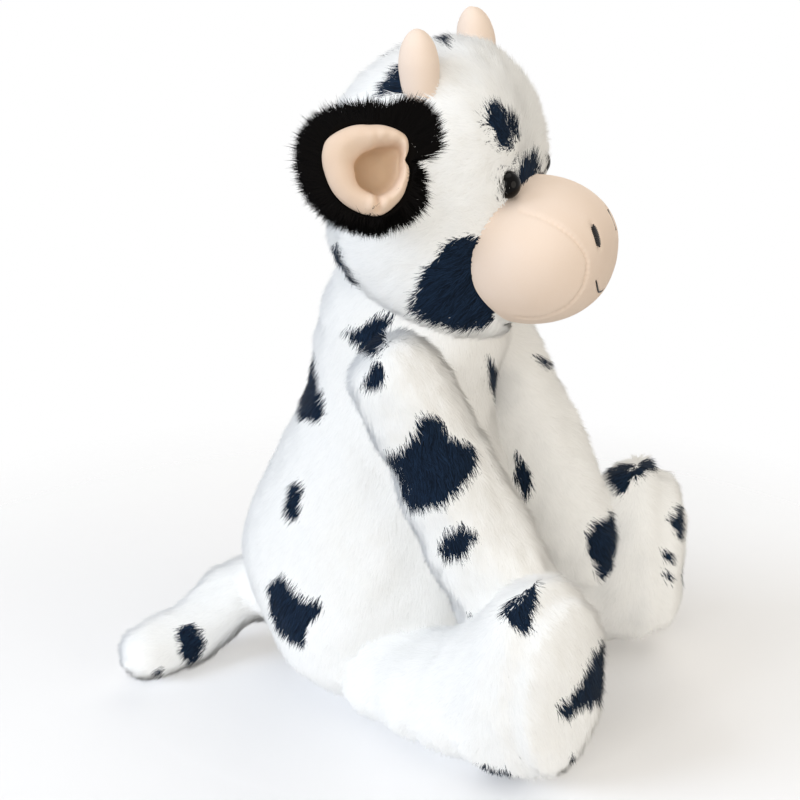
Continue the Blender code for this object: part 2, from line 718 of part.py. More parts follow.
def make_eye(side, word, head_tree, skin, stuffing):
    """A domed eye whose stem passes through the skin into a washer that locks it."""
    point, normal, *_ = head_tree.ray_cast(HEAD, towards(side, EYE_TURN, EYE_TILT))
    frame = frame_on(point, normal)
    dome = [(EYE_RADIUS * cos(a), SEAM_GAP + EYE_RISE * sin(a))
            for a in (pi / 2 * i / (2 * CAP_RINGS) for i in range(2 * CAP_RINGS + 1))]
    dome[-1] = (0, dome[-1][1])
    profile = [(0, -EYE_STEM_LENGTH), (EYE_STEM_RADIUS, -EYE_STEM_LENGTH),
               (EYE_STEM_RADIUS, SEAM_GAP), *dome]
    place(word + "_eye", turned(word + "_eye", profile, frame, HOLE_SEGMENTS), EYE_PLASTIC,
          0.08, about=NECK)

    # The washer lies under the skin, clear of its hollow side by the sag over its own width
    sag = WASHER_RADIUS ** 2 / HEAD_DEPTH
    high = -(FABRIC + sag + SEAM_GAP)
    low = high - WASHER_THICKNESS
    bore = running_radius(EYE_STEM_RADIUS, HOLE_SEGMENTS)
    profile = [(bore, low), (WASHER_RADIUS, low), (WASHER_RADIUS, high), (bore, high)]
    rings = [ellipse(Vector((0, 0, z)), Vector((r, 0, 0)), Vector((0, r, 0)), HOLE_SEGMENTS)
             for r, z in profile]
    washer = loft(word + "_eye_washer", rings, looped=True)
    washer.transform(frame)
    place(word + "_eye_washer", washer, WASHER_PLASTIC, 0.4, about=NECK)

    hole = turned(word + "_eye_hole", [(0, -CUT_OVERRUN / 2), (bore, -CUT_OVERRUN / 2),
                                       (bore, CUT_OVERRUN / 2), (0, CUT_OVERRUN / 2)],
                  frame, HOLE_SEGMENTS)
    cut(skin, place(word + "_eye_hole", hole))
    wide = WASHER_RADIUS + STUFFING_FIT
    deep = EYE_STEM_LENGTH + STUFFING_FIT
    pocket = turned(word + "_eye_pocket", [(0, -deep), (wide, -deep), (wide, CUT_OVERRUN),
                                           (0, CUT_OVERRUN)], frame, HOLE_SEGMENTS)
    cut(stuffing, place(word + "_eye_pocket", pocket))


def make_horns(knives, head_tree):
    for side, word in SIDES:
        base, *_ = head_tree.ray_cast(HEAD, towards(side, HORN_TURN, HORN_TILT))
        name = word + "_horn_skin"
        skin = place(name, horn_form(name, side, base), PEACH, about=NECK)
        cut(line_with(skin, VELBOA), knives["head"])
        name = word + "_horn_stuffing"
        inside = horn_form(name, side, base, -(VELBOA + STUFFING_FIT))
        cut(place(name, inside, FIBRE, about=NECK), knives["head"])


def make_ears(knives, head_tree):
    for side, word in SIDES:
        root, *_ = head_tree.ray_cast(HEAD, towards(side, EAR_TURN, EAR_TILT))
        name = word + "_ear_back"
        back = ear_form(name, side, root)
        cut(place(name, back, PILE_BLACK, about=root), knives["head"])
        name = word + "_ear_lining"
        lining = ear_form(name, side, root, lining=True)
        cut(place(name, lining, PEACH, about=root), knives["head"])


def make_arms(knives):
    for side, word in SIDES:
        legs = knives[word + "_legs"]
        name = word + "_arm_skin"
        skin = place(name, arm_form(name, side), PILE_WHITE, about=shoulder(side))
        hole = turned(word + "_arm_hole", [(0, 0), (ARM_OPENING, 0), (ARM_OPENING, CUT_OVERRUN),
                                           (0, CUT_OVERRUN)],
                      frame_on(shoulder(side), Vector((-side, 0, 0))), HOLE_SEGMENTS)
        cut(line_with(skin, FABRIC), knives["chest"], *legs, place(word + "_arm_hole", hole))
        name = word + "_arm_stuffing"
        inside = arm_form(name, side, -(FABRIC + STUFFING_FIT), 2)
        cut(place(name, inside, FIBRE, about=shoulder(side)), knives["chest"], *legs)


def make_legs(knives):
    """Each leg has a skin, a sole panel sewn to its front, stuffing and a bag of pellets."""
    inset = FABRIC + STUFFING_FIT
    for side, word in SIDES:
        ahead = place(word + "_sole_front_knife", box(
            word + "_sole_front_knife", *sole_plane(side, SOLE_SHARE, CUT_OVERRUN)))
        behind = place(word + "_sole_back_knife", box(
            word + "_sole_back_knife",
            *sole_plane(side, SOLE_SHARE + SEAM_GAP / LEG_LENGTH, -LEG_LENGTH * 2)))
        name = word + "_leg_skin"
        skin = place(name, leg_form(name, side, opening=ROOT_OPENING), PILE_WHITE,
                     about=hip(side))
        cut(line_with(skin, FABRIC), knives["floor"], ahead, knives["torso"])
        name = word + "_sole"
        sole = place(name, leg_form(name, side, opening=ROOT_OPENING), PILE_WHITE,
                     about=hip(side))
        cut(line_with(sole, FABRIC), behind, knives["floor"])

        reach = LEG_LENGTH + SOLE_BULGE - inset - FOOT_BAG_THICKNESS / 2
        middle = hip(side) + leg_direction(side) * reach
        middle.z = LEG_SHARES[-1][2] * FOOT_HEIGHT / 2
        stand = frame_on(middle, -leg_direction(side))
        size = (2 * FOOT_BAG_RADIUS, 2 * FOOT_BAG_RADIUS, FOOT_BAG_THICKNESS)
        pocket_mesh = bag_form(word + "_foot_bag_pocket", Vector(), size, STUFFING_FIT, CUT_OVERRUN)
        pocket_mesh.transform(stand)
        pocket = place(word + "_foot_bag_pocket", pocket_mesh)
        bag = bag_form(word + "_foot_pellet_bag", Vector(), size)
        bag.transform(stand)
        place(word + "_foot_pellet_bag", bag, PELLET_CLOTH, about=hip(side))
        name = word + "_leg_stuffing"
        inside = place(name, leg_form(name, side, -inset, 2), FIBRE, about=hip(side))
        cut(inside, knives["torso"], pocket)


def make_tail(knives):
    skin = place("tail_skin", tail_form("tail_skin", opening=ROOT_OPENING), PILE_WHITE,
                 about=tail_root())
    cut(line_with(skin, FABRIC), knives["torso"], knives["floor"])
    inside = tail_form("tail_stuffing", -(FABRIC + STUFFING_FIT), 2)
    cut(place("tail_stuffing", inside, FIBRE, about=tail_root()), knives["torso"])


def main():
    clear_scene()
    head_tree = surface_of(head_form("head_surface"))
    muzzle_tree = surface_of(muzzle_form("muzzle_surface"))
    knives = make_knives()
    make_torso(knives)
    make_head(knives, head_tree, muzzle_tree)
    make_horns(knives, head_tree)
    make_ears(knives, head_tree)
    make_arms(knives)
    make_legs(knives)
    make_tail(knives)


main()
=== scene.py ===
"""The looks of a seated plush cow: pile skins, velboa nose and horns, curled ears and eyes.

Shapes are written in millimetres and built in metres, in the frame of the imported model.
"""

from math import cos, pi, radians, sin

import bpy
import numpy as np
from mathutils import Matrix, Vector
from mathutils.bvhtree import BVHTree


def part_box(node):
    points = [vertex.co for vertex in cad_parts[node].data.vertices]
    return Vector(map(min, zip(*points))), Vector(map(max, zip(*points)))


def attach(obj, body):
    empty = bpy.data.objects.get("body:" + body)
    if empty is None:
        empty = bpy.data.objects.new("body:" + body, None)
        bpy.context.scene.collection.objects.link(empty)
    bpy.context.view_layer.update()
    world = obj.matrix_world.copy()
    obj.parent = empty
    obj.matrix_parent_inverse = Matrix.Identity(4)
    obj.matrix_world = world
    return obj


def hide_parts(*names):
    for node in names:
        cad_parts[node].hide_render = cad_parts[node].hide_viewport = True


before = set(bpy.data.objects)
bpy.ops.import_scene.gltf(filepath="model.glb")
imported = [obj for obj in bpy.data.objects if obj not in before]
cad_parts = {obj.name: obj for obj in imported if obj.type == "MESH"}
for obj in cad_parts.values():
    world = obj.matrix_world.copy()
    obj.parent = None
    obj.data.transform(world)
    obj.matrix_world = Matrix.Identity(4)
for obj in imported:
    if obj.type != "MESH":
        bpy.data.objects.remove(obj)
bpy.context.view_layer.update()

MM = 0.001
SIDES = ((1, "left"), (-1, "right"))
UP = np.array((0.0, 0.0, 1.0))
REARWARD = np.array((0.0, 1.0, 0.0))

# The camera: where it looks, from which side and height, how far off, and its lens
TARGET = np.array((0.0, 0.0, 124.0))
AZIMUTH, ELEVATION = radians(-68), radians(19)
DISTANCE, FOCAL_PX, FRAME_PX = 900.0, 2140.0, 800.0
TO_CAMERA = np.array((sin(AZIMUTH) * cos(ELEVATION), -cos(AZIMUTH) * cos(ELEVATION), sin(ELEVATION)))
FRAME_RIGHT = np.array((cos(AZIMUTH), sin(AZIMUTH), 0.0))
FRAME_UP = np.cross(TO_CAMERA, FRAME_RIGHT)

# Head: the neck's ball that it sits on, its base, its height, its half width and how far it
# reaches from its own middle line
NECK, NECK_RADIUS = np.array((0.0, -6.0, 158.0)), 40.0
HEAD_BASE = NECK + (0, -11.0, 3.0)
HEAD_HEIGHT, HEAD_HALF_WIDTH, HEAD_REACH = 118, 51.5, 44
HEAD = HEAD_BASE + (0, 0, HEAD_HEIGHT / 2)
# The dip of the brow over the muzzle, its depth and its spread
BROW, BROW_DIP, BROW_SPREAD = np.array((0.0, -60.0, 240.0)), 2.6, 20
# Muzzle: its middle, and its half width, depth and height
MUZZLE = HEAD + (0, -41.0, -24.5)
MUZZLE_HALF = (39, 32, 29.5)
# Arms: the left shoulder, the slope forward and the turn inward, the length and the radius
SHOULDER = np.array((48.0, -19.0, 150.0))
ARM_SLOPE, ARM_TURN = radians(26), radians(5)
ARM_LENGTH, ARM_RADIUS = 104, 23
# Legs: the left hip, the splay, the length to the sole, the half width and the foot's height
HIP = np.array((46.0, -20.0, 0.0))
LEG_SPLAY, LEG_LENGTH, LEG_HALF_WIDTH, FOOT_HEIGHT = radians(20), 79, 31, 88
SOLE_START = 76
# Tail: its root, its length and radius, and the bend to the right in the first part of it
TAIL_ROOT = np.array((0.0, 61.0, 29.0))
TAIL_LENGTH, TAIL_RADIUS = 64.5, 16.5
TAIL_BEND, TAIL_BEND_SHARE = radians(65), 0.35
# Forms reach a little under the floor before they are pressed flat on it
SINK = 0.5

# How deep the pile of each body is
FUR = {"torso": 3.4, "head": 4.6, "left_arm": 4.4, "right_arm": 4.4, "left_leg": 3.8,
       "right_leg": 3.8, "tail": 3.6}
# Tufts: length, width, and lean from upright in radians. A square millimetre of the real pile holds
# dozens of fibres, too fine and too many to draw, so each tuft stands for a lock of them
TUFT_LENGTH, TUFT_WIDTH, TUFT_LEAN = 5.6, 0.5, 1.26
TUFTS_PER_MM2 = 2.95
# A tuft has three faces, and a piece stays under 200,000
TUFTS_PER_PIECE = 63000


def unit(v):
    """Vectors brought to a length of one."""
    return v / np.maximum(np.linalg.norm(v, axis=-1, keepdims=True), 1e-9)


def falloff(far, reach):
    """1 at no distance, fading to nothing over about twice the reach."""
    return np.exp(-((far / reach) ** 2))


def waves(p, size, seed, count=9):
    """Smooth noise between about -1 and 1, with swells of the given size."""
    rng = np.random.default_rng(seed)
    k = unit(rng.normal(size=(count, 3))) * (2 * pi / size) * rng.uniform(0.7, 1.5, (count, 1))
    return np.sin(p @ k.T + rng.uniform(0, 2 * pi, count)).mean(-1) * 2


def pixels(p):
    """Where points fall in the photograph's frame."""
    q = p - TARGET
    deep = DISTANCE - q @ TO_CAMERA
    return np.stack([FRAME_PX / 2 + FOCAL_PX * (q @ FRAME_RIGHT) / deep,
                     FRAME_PX / 2 - FOCAL_PX * (q @ FRAME_UP) / deep], -1)


def on_muzzle(x, y):
    """The point and normal of the muzzle that show at a place in the frame."""
    start = TARGET + TO_CAMERA * DISTANCE
    ray = unit(-TO_CAMERA * FOCAL_PX + FRAME_RIGHT * (x - FRAME_PX / 2) - FRAME_UP * (y - FRAME_PX / 2))
    point, normal, *_ = muzzle_shell[0].ray_cast(Vector(start), Vector(ray))
    return np.array(point), np.array(normal)


# Cow patches. Those in view are outlined where they show in the frame, and the pair at the shoulder
# runs over the body and the arm
SHOULDER_PATCHES_PX = [
    [(341, 334), (363, 329), (376, 316), (395, 322), (386, 333), (380, 345), (371, 360), (363, 356),
     (353, 347)],
    [(361, 390), (366, 381), (370, 366), (380, 367), (387, 379), (384, 389), (376, 393), (366, 391)],
]
PATCHES_PX = {
    "head": [
        [(400, 62), (406, 75), (410, 90), (395, 93), (377, 97), (374, 99), (375, 86), (387, 75), (392, 67)],
        [(376, 58), (385, 50), (395, 44), (404, 40), (405, 45), (395, 49), (383, 57)],
        [(431, 34), (440, 32), (450, 34), (448, 41), (443, 46), (436, 42)],
        [(514, 60), (523, 62), (529, 72), (522, 72)],
        [(481, 108), (488, 100), (497, 99), (506, 103), (514, 112), (518, 123), (521, 131), (517, 141),
         (513, 149), (505, 152), (499, 147), (493, 140), (495, 132), (488, 125), (483, 120), (486, 113)],
        [(529, 150), (535, 147), (542, 159), (548, 172), (543, 184), (530, 189), (514, 190), (508, 180),
         (511, 173), (517, 171), (521, 161)],
        [(451, 240), (467, 234), (482, 239), (498, 250), (495, 262), (491, 278), (490, 292), (496, 305),
         (504, 316), (497, 322), (478, 332), (460, 331), (442, 328), (425, 322), (414, 317), (406, 310),
         (412, 297), (417, 277), (425, 265), (435, 254), (442, 245)],
        [(329, 246), (335, 250), (345, 262), (354, 277), (357, 288), (352, 294), (346, 290), (335, 281),
         (327, 272)],
    ],
    "torso": [
        *SHOULDER_PATCHES_PX,
        [(315, 352), (315, 376), (322, 413), (318, 424), (298, 422), (299, 401), (305, 376)],
        [(286, 490), (293, 484), (301, 489), (299, 516), (290, 524), (283, 521), (283, 504)],
        [(265, 587), (280, 578), (292, 590), (303, 603), (317, 605), (325, 612), (313, 622), (307, 633),
         (304, 650), (290, 645), (277, 633), (272, 617), (268, 600)],
        [(485, 359), (494, 365), (502, 387), (502, 417), (496, 411), (489, 388)],
    ],
    "right_arm": [
        [(386, 457), (400, 454), (414, 439), (417, 421), (429, 417), (444, 426), (451, 441), (469, 444),
         (480, 456), (477, 473), (469, 484), (453, 501), (440, 510), (411, 517), (403, 501), (396, 476)],
        [(439, 547), (446, 536), (463, 530), (477, 533), (481, 541), (471, 547), (464, 564), (451, 563),
         (441, 556)],
        [(469, 620), (482, 622), (478, 644), (472, 634)],
        *SHOULDER_PATCHES_PX,
    ],
    "left_arm": [
        [(517, 452), (529, 471), (534, 490), (528, 504), (519, 489), (516, 470)],
        [(538, 355), (550, 362), (552, 371), (541, 364)],
        [(588, 539), (594, 524), (608, 521), (614, 509), (624, 516), (626, 534), (628, 556), (625, 579),
         (612, 593), (601, 588), (593, 564)],
    ],
    "left_leg": [
        [(604, 470), (640, 460), (664, 456), (664, 467), (645, 477), (630, 483), (620, 498), (608, 490)],
        [(664, 552), (676, 556), (675, 564), (666, 562)],
        [(664, 574), (674, 576), (674, 584), (666, 583)],
    ],
    "right_leg": [
        [(496, 615), (517, 597), (543, 580), (537, 610), (530, 640), (513, 632), (503, 623)],
        [(557, 714), (567, 703), (580, 687), (593, 660), (608, 633), (622, 640), (622, 660), (620, 687),
         (612, 703), (593, 709), (577, 714), (568, 724)],
        [(568, 758), (576, 758), (577, 765), (569, 765)],
        [(455, 762), (487, 767), (512, 774), (540, 781), (540, 795), (500, 795), (470, 785)],
    ],
    "tail": [
        [(173, 630), (182, 625), (188, 622), (200, 632), (204, 647), (200, 660), (188, 667), (178, 660),
         (177, 643)],
        [(152, 670), (160, 670), (160, 678), (152, 678)],
    ],
}
# Patches on the far sides: a middle and a radius each
FAR_PATCHES = {
    "head": [((30, 22, 262), 13), ((48, 2, 205), 14), ((14, 30, 225), 11), ((38, -48, 205), 12),
             ((-8, 33, 198), 8)],
    "torso": [((52, 38, 60), 15), ((58, 20, 100), 10), ((36, 40, 128), 14), ((16, 62, 82), 12),
              ((0, 50, 118), 9), ((32, 24, 160), 12), ((36, 52, 30), 11), ((10, -48, 108), 11)],
    "left_arm": [((72, -18, 128), 12), ((64, -40, 104), 14), ((60, -62, 66), 9)],
    "right_arm": [((-22, -70, 66), 9)],
    "left_leg": [((78, -52, 46), 14), ((96, -86, 74), 12), ((84, -112, 26), 15), ((60, -20, 40), 9),
                 ((62, -112, 62), 9)],
    "right_leg": [((-44, -84, 40), 11)],
    "tail": [((2, 76, 26), 8), ((-60, 100, 8), 8)],
}
# Far patches with their middle past this also show where they come round into view
LEFT_OF_MIDDLE = 10


def within(q, outline):
    """Whether places in the frame lie inside an outline."""
    a = np.array(outline, float)
    b = np.roll(a, -1, 0)
    inside = np.zeros(len(q), bool)
    for (ax, ay), (bx, by) in zip(a, b):
        if ay != by:
            crosses = (ay > q[:, 1]) != (by > q[:, 1])
            inside ^= crosses & (q[:, 0] < (bx - ax) * (q[:, 1] - ay) / (by - ay) + ax)
    return inside


def dyed(body, p, n):
    """1 where the pile of a body is dyed dark, and 0 where it is white."""
    shape = p.shape[:-1]
    p, n = p.reshape(-1, 3), n.reshape(-1, 3)
    q = pixels(p)
    # The edges of the patches waver by a pixel or so, in swells of 7 and 2.6 mm
    for axis in (0, 1):
        q[:, axis] += 1.1 * waves(p, 7, 3 + 2 * axis) + 0.6 * waves(p, 2.6, 4 + 2 * axis)
    facing = n @ TO_CAMERA > -0.5
    dark = np.zeros(len(p), bool)
    for outline in PATCHES_PX.get(body, ()):
        dark |= within(q, outline) & facing
    ragged = 0.24 * waves(p, 15, 11) + 0.06 * waves(p, 3, 12)
    for middle, radius in FAR_PATCHES.get(body, ()):
        share = np.linalg.norm(p - np.array(middle), axis=1) / radius + ragged
        dark |= (share < 1) & ~facing
        if middle[0] > LEFT_OF_MIDDLE:
            dark |= share < 0.99
    return dark.astype(float).reshape(shape)


# Soft forms, each a grid of points: rows along the form by columns round it
def eased(rows, count):
    """Rows of numbers along a smooth curve through the given ones, evenly spaced."""
    rows = np.asarray(rows, float)
    t = np.concatenate([[0], np.cumsum(np.linalg.norm(np.diff(rows, axis=0), axis=1))])
    slope = np.gradient(rows, t, axis=0)
    s = np.linspace(0, t[-1], count)
    i = np.clip(np.searchsorted(t, s, side="right") - 1, 0, len(t) - 2)
    h = (t[i + 1] - t[i])[:, None]
    x = (s - t[i])[:, None] / h
    return ((2 * x**3 - 3 * x**2 + 1) * rows[i] + (x**3 - 2 * x**2 + x) * h * slope[i]
            + (3 * x**2 - 2 * x**3) * rows[i + 1] + (x**3 - x**2) * h * slope[i + 1])


def row(middle, across, deep):
    """One oval of a form, as nine numbers: its middle and its two half axes."""
    return np.concatenate([middle, across, deep])


def capped(rows, start, end, rings=6):
    """Rounds both ends of rows, outward by the vectors start and end."""
    def cap(edge, out):
        turns = [pi / 2 * i / rings for i in range(1, rings + 1)]
        return [row(edge[:3] + out * sin(a), edge[3:6] * cos(a), edge[6:] * cos(a)) for a in turns]
    return cap(rows[0], start)[::-1] + list(rows) + cap(rows[-1], end)


def tube(rows, along, around):
    """A smooth form through ovals, with a number of points along it and around it."""
    r = eased(rows, along)[:, None]
    a = np.linspace(0, 2 * pi, around, endpoint=False)[None, :, None]
    return r[..., :3] + r[..., 3:6] * np.cos(a) + r[..., 6:] * np.sin(a)


def normals(grid):
    """Unit normals of a grid, outward."""
    u = np.gradient(grid, axis=0)
    v = np.roll(grid, -1, 1) - np.roll(grid, 1, 1)
    n = np.cross(v, u)
    # An end that closes to a point takes the mean of the ring beside it
    for end, inner in ((0, 1), (-1, -2)):
        if np.linalg.norm(v[end], axis=1).max() < 0.5:
            n[end] = unit(n[inner]).mean(0)
    n = unit(n)
    out = grid - grid.mean(1, keepdims=True)
    return n * np.sign((n[2:-2] * out[2:-2]).sum())


def torso_rows():
    """The seat, the pear of the body and the ball of the neck, from the floor up."""
    # Height, half width, front and back
    table = [(4.7, 44.8, -29.6, 37.5), (15.8, 54.5, -41.8, 50.9), (34.8, 59.9, -50.3, 62.5),
             (60.0, 60.5, -51.0, 68.0), (85.3, 55.7, -46.1, 60.7), (110.6, 48.4, -40.6, 47.3),
             (134.3, 43.0, -40.0, 37.5), (158.0, 40.0, -46.0, 34.0)]
    rows = [row((0, 4, -SINK), (0, 0, 0), (0, 0, 0)), row((0, 4, -SINK), (32.2, 0, 0), (0, 24.1, 0))]
    rows += [row((0, (f + b) / 2, z), (w, 0, 0), (0, (b - f) / 2, 0)) for z, w, f, b in table]
    rings = 5
    for i in range(1, rings + 1):
        turn = pi / 2 * i / rings
        r = NECK_RADIUS * cos(turn)
        rows.append(row(NECK + UP * NECK_RADIUS * sin(turn), (r, 0, 0), (0, r, 0)))
    return rows


def head_rows():
    """The head from the chin to the crown, before the brow is drawn in."""
    # Shares of the height, of the half width, and of the reach to the front and to the back
    table = [(0.035, 0.58, 1.02, 0.20), (0.13, 0.84, 1.14, 0.70), (0.26, 0.95, 1.10, 0.98),
             (0.42, 1.00, 1.03, 1.03), (0.58, 1.00, 1.00, 1.02), (0.73, 0.93, 0.93, 0.93),
             (0.86, 0.75, 0.76, 0.72), (0.955, 0.44, 0.47, 0.36)]
    rows = [row(HEAD_BASE + (0, -18.5, 0), (0, 0, 0), (0, 0, 0))]
    for h, w, f, b in table:
        middle = HEAD_BASE + (0, (b - f) / 2 * HEAD_REACH, h * HEAD_HEIGHT)
        rows.append(row(middle, (w * HEAD_HALF_WIDTH, 0, 0), (0, (f + b) / 2 * HEAD_REACH, 0)))
    rows.append(row(HEAD_BASE + (0, -4.4, HEAD_HEIGHT), (0, 0, 0), (0, 0, 0)))
    return rows


def muzzle_rows():
    """The muzzle from back to front, a little squarer than an egg."""
    wide, deep, high = MUZZLE_HALF
    rings = 18
    rows = []
    for i in range(rings + 1):
        a = pi * i / rings
        bulge = sin(a) ** 0.82 if 0 < i < rings else 0
        rows.append(row(MUZZLE + (0, deep * cos(a), 0), (wide * bulge, 0, 0), (0, 0, high * bulge)))
    return rows


def arm_rows(side):
    """An arm from its root at the shoulder to the round hoof."""
    along = np.array((-side * sin(ARM_TURN), -cos(ARM_TURN) * sin(ARM_SLOPE),
                      -cos(ARM_TURN) * cos(ARM_SLOPE)))
    across = unit(np.cross(along, UP))
    deep = np.cross(across, along)
    start = SHOULDER * (side, 1, 1)
    shares = ((0, 0.86), (0.25, 0.89), (0.5, 0.96), (0.75, 1.0), (1.0, 0.97))
    rows = [row(start + along * s * ARM_LENGTH, across * r * ARM_RADIUS, deep * r * ARM_RADIUS)
            for s, r in shares]
    return capped(rows, -along * shares[0][1] * ARM_RADIUS, along * shares[-1][1] * ARM_RADIUS)


def leg_line(side):
    """Where a leg starts on the floor, and the way it points."""
    return HIP * (side, 1, 1), np.array((side * sin(LEG_SPLAY), -cos(LEG_SPLAY), 0))


def leg_rows(side):
    """A leg from its root in the body to the sole of the upright foot."""
    start, along = leg_line(side)
    across = np.cross(along, UP)
    # Place along the leg, half width, top and bottom: at the root, and then as shares
    table = [(0, 22, 46, 0)]
    for s, w, t, b in ((0.2, 0.88, 0.54, 0), (0.42, 0.94, 0.62, 0), (0.6, 0.96, 0.78, 0),
                       (0.8, 1.0, 0.96, 0), (0.93, 0.97, 0.98, 0.02), (1.0, 0.88, 0.92, 0.06)):
        table.append((s * LEG_LENGTH, w * LEG_HALF_WIDTH, t * FOOT_HEIGHT, b * FOOT_HEIGHT))
    rows = [row(start + along * s + UP * ((t + b) / 2 - SINK), across * w, UP * (t - b) / 2)
            for s, w, t, b in table]
    root_reach, toe_reach = 34, 13
    return capped(rows, -along * root_reach, along * toe_reach)


def tail_rows():
    """The tail: straight out, down to the floor, and bent to the right."""
    rows = []
    for share in np.linspace(0, 1, 21):
        bent = min(share, TAIL_BEND_SHARE)
        turn = TAIL_BEND * bent / TAIL_BEND_SHARE
        bend_radius = TAIL_BEND_SHARE * TAIL_LENGTH / TAIL_BEND
        heading = np.array((-sin(turn), cos(turn), 0))
        reach = (np.array((cos(turn) - 1, sin(turn), 0)) * bend_radius
                 + heading * (share - bent) * TAIL_LENGTH)
        fall = min(1, share / 0.74)
        fall = fall * fall * (3 - 2 * fall)
        r = np.interp(share, (0, 0.3, 0.65, 1), (1, 0.95, 0.86, 0.79)) * TAIL_RADIUS
        middle = TAIL_ROOT + reach + UP * (r - SINK - TAIL_ROOT[2]) * fall
        rows.append(row(middle, np.cross(heading, UP) * r, UP * r))
    tip_reach = 12.7
    return capped(rows, np.array((0, -TAIL_RADIUS, 0)), heading * tip_reach)


def lumpy(grid, amount, size, seed):
    """Presses and swells a form a little, as loose stuffing does."""
    swell = waves(grid, size, seed) + 0.4 * waves(grid, size / 2.6, seed + 1)
    return grid + normals(grid) * amount * swell[..., None]


def grounded(p, floor=0.25):
    """Keeps points above the floor, and the deepest of them a hair above the rest."""
    deepest, hair = -8, 0.15
    p[..., 2] = np.maximum(p[..., 2], floor + hair * np.clip(p[..., 2] - floor, deepest, 0) / deepest)
    return p


# Meshes
def mesh_of(name, points, corners, sizes):
    """A mesh from points in millimetres, the corners of its faces, and the corners of each."""
    mesh = bpy.data.meshes.new(name)
    mesh.vertices.add(len(points))
    mesh.vertices.foreach_set("co", (points * MM).astype(np.float32).ravel())
    mesh.loops.add(len(corners))
    mesh.loops.foreach_set("vertex_index", corners.astype(np.int32))
    mesh.polygons.add(len(sizes))
    starts = np.concatenate([[0], np.cumsum(sizes)[:-1]])
    mesh.polygons.foreach_set("loop_start", starts.astype(np.int32))
    mesh.update(calc_edges=True)
    mesh.validate()
    mesh.shade_smooth()
    return mesh


def grid_faces(count, around):
    """The corners of the four-sided faces of a grid that closes round."""
    i, j = np.meshgrid(np.arange(count - 1), np.arange(around), indexing="ij")
    k = (j + 1) % around
    return np.stack([i * around + j, i * around + k, (i + 1) * around + k, (i + 1) * around + j], -1)


def grid_mesh(name, grid, ends=(True, True)):
    """A smooth skin over a grid that closes round. Its ends can be closed too."""
    count, around = grid.shape[:2]
    quads = grid_faces(count, around)
    points = grid.reshape(-1, 3)
    corners, sizes = quads.ravel(), np.full(quads.shape[0] * quads.shape[1], 4)
    ring = np.arange(around)
    for at, low, closed in ((0, 0, ends[0]), (count - 1, (count - 1) * around, ends[1])):
        if closed:
            points = np.vstack([points, grid[at].mean(0)])
            tip = np.full(around, len(points) - 1)
            pair = (ring + low, (ring + 1) % around + low)
            fan = np.stack([tip, *(pair[::-1] if at == 0 else pair)], -1)
            corners = np.concatenate([corners, fan.ravel()])
            sizes = np.concatenate([sizes, np.full(around, 3)])
    return mesh_of(name, points, corners, sizes)


def tag(mesh, values):
    """Stores dye (painted shade on the ear lining), tone and place along the pile at each point, which sets
    painted shade at the roots.
    """
    field = mesh.attributes.new("pile", "FLOAT_VECTOR", "POINT")
    full = np.zeros((len(mesh.vertices), 3), np.float32)
    full[:len(values)] = values
    full[len(values):] = values[-1]
    field.data.foreach_set("vector", full.ravel())


def add(name, mesh, body, material, replaced=()):
    """Adds a piece that rides on a body, with its material and what it stands for."""
    thing = bpy.data.objects.new(name, mesh)
    bpy.context.scene.collection.objects.link(thing)
    mesh.materials.append(material)
    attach(thing, body)
    if replaced:
        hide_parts(*replaced)
    return thing


def skin(name, grid, body, node_name, ends=(True, True)):
    """The cloth under the pile, dyed as the pile is and darkened with the painted shade of the pile's roots.
    """
    n = normals(grid)
    mesh = grid_mesh(name, grounded(grid - n * FUR[body]), ends)
    dye = dyed(body, grid, n).reshape(-1)
    # Painted shade: a place along the pile of 0 gives the cloth the darkened colour of the tufts' roots
    tag(mesh, np.stack([dye, np.full_like(dye, 0.5), np.zeros_like(dye)], -1))
    thing = add(name, mesh, body, PILE, (node_name,))


def stuffing(name, grid, body, node_name, deeper):
    """The mass of fibre inside a skin, a number of millimetres under it."""
    inner = grounded(grid - normals(grid) * deeper, 4.0)[::4, ::4]
    thing = add(name, grid_mesh(name, inner), body, FIBRE, (node_name,))


def bag(name, node_name, body):
    """A small sewn bag of pellets that fills the place of its solid."""
    low, high = (np.array(v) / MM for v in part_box(node_name))
    middle, half = (low + high) / 2, ((high - low) / 2 - 3.0) * 0.85
    rings = 14
    rows = []
    for i in range(rings + 1):
        a = pi * (i / rings - 0.5)
        rows.append(row(middle + UP * half[2] * sin(a), (half[0] * cos(a), 0, 0), (0, half[1] * cos(a), 0)))
    grid = tube(rows, 30, 40)
    # The pellets press out through the cloth, a few millimetres apart
    grid = grid - normals(grid) * (0.8 + 0.5 * waves(grid, 3.5, 31))[..., None]
    thing = add(name, grid_mesh(name, grid), body, PELLET_CLOTH, (node_name,))


# Pile
def lain(v, normal):
    """The part of vectors that lies along the surface."""
    return v - normal * (v * normal).sum(1, keepdims=True)


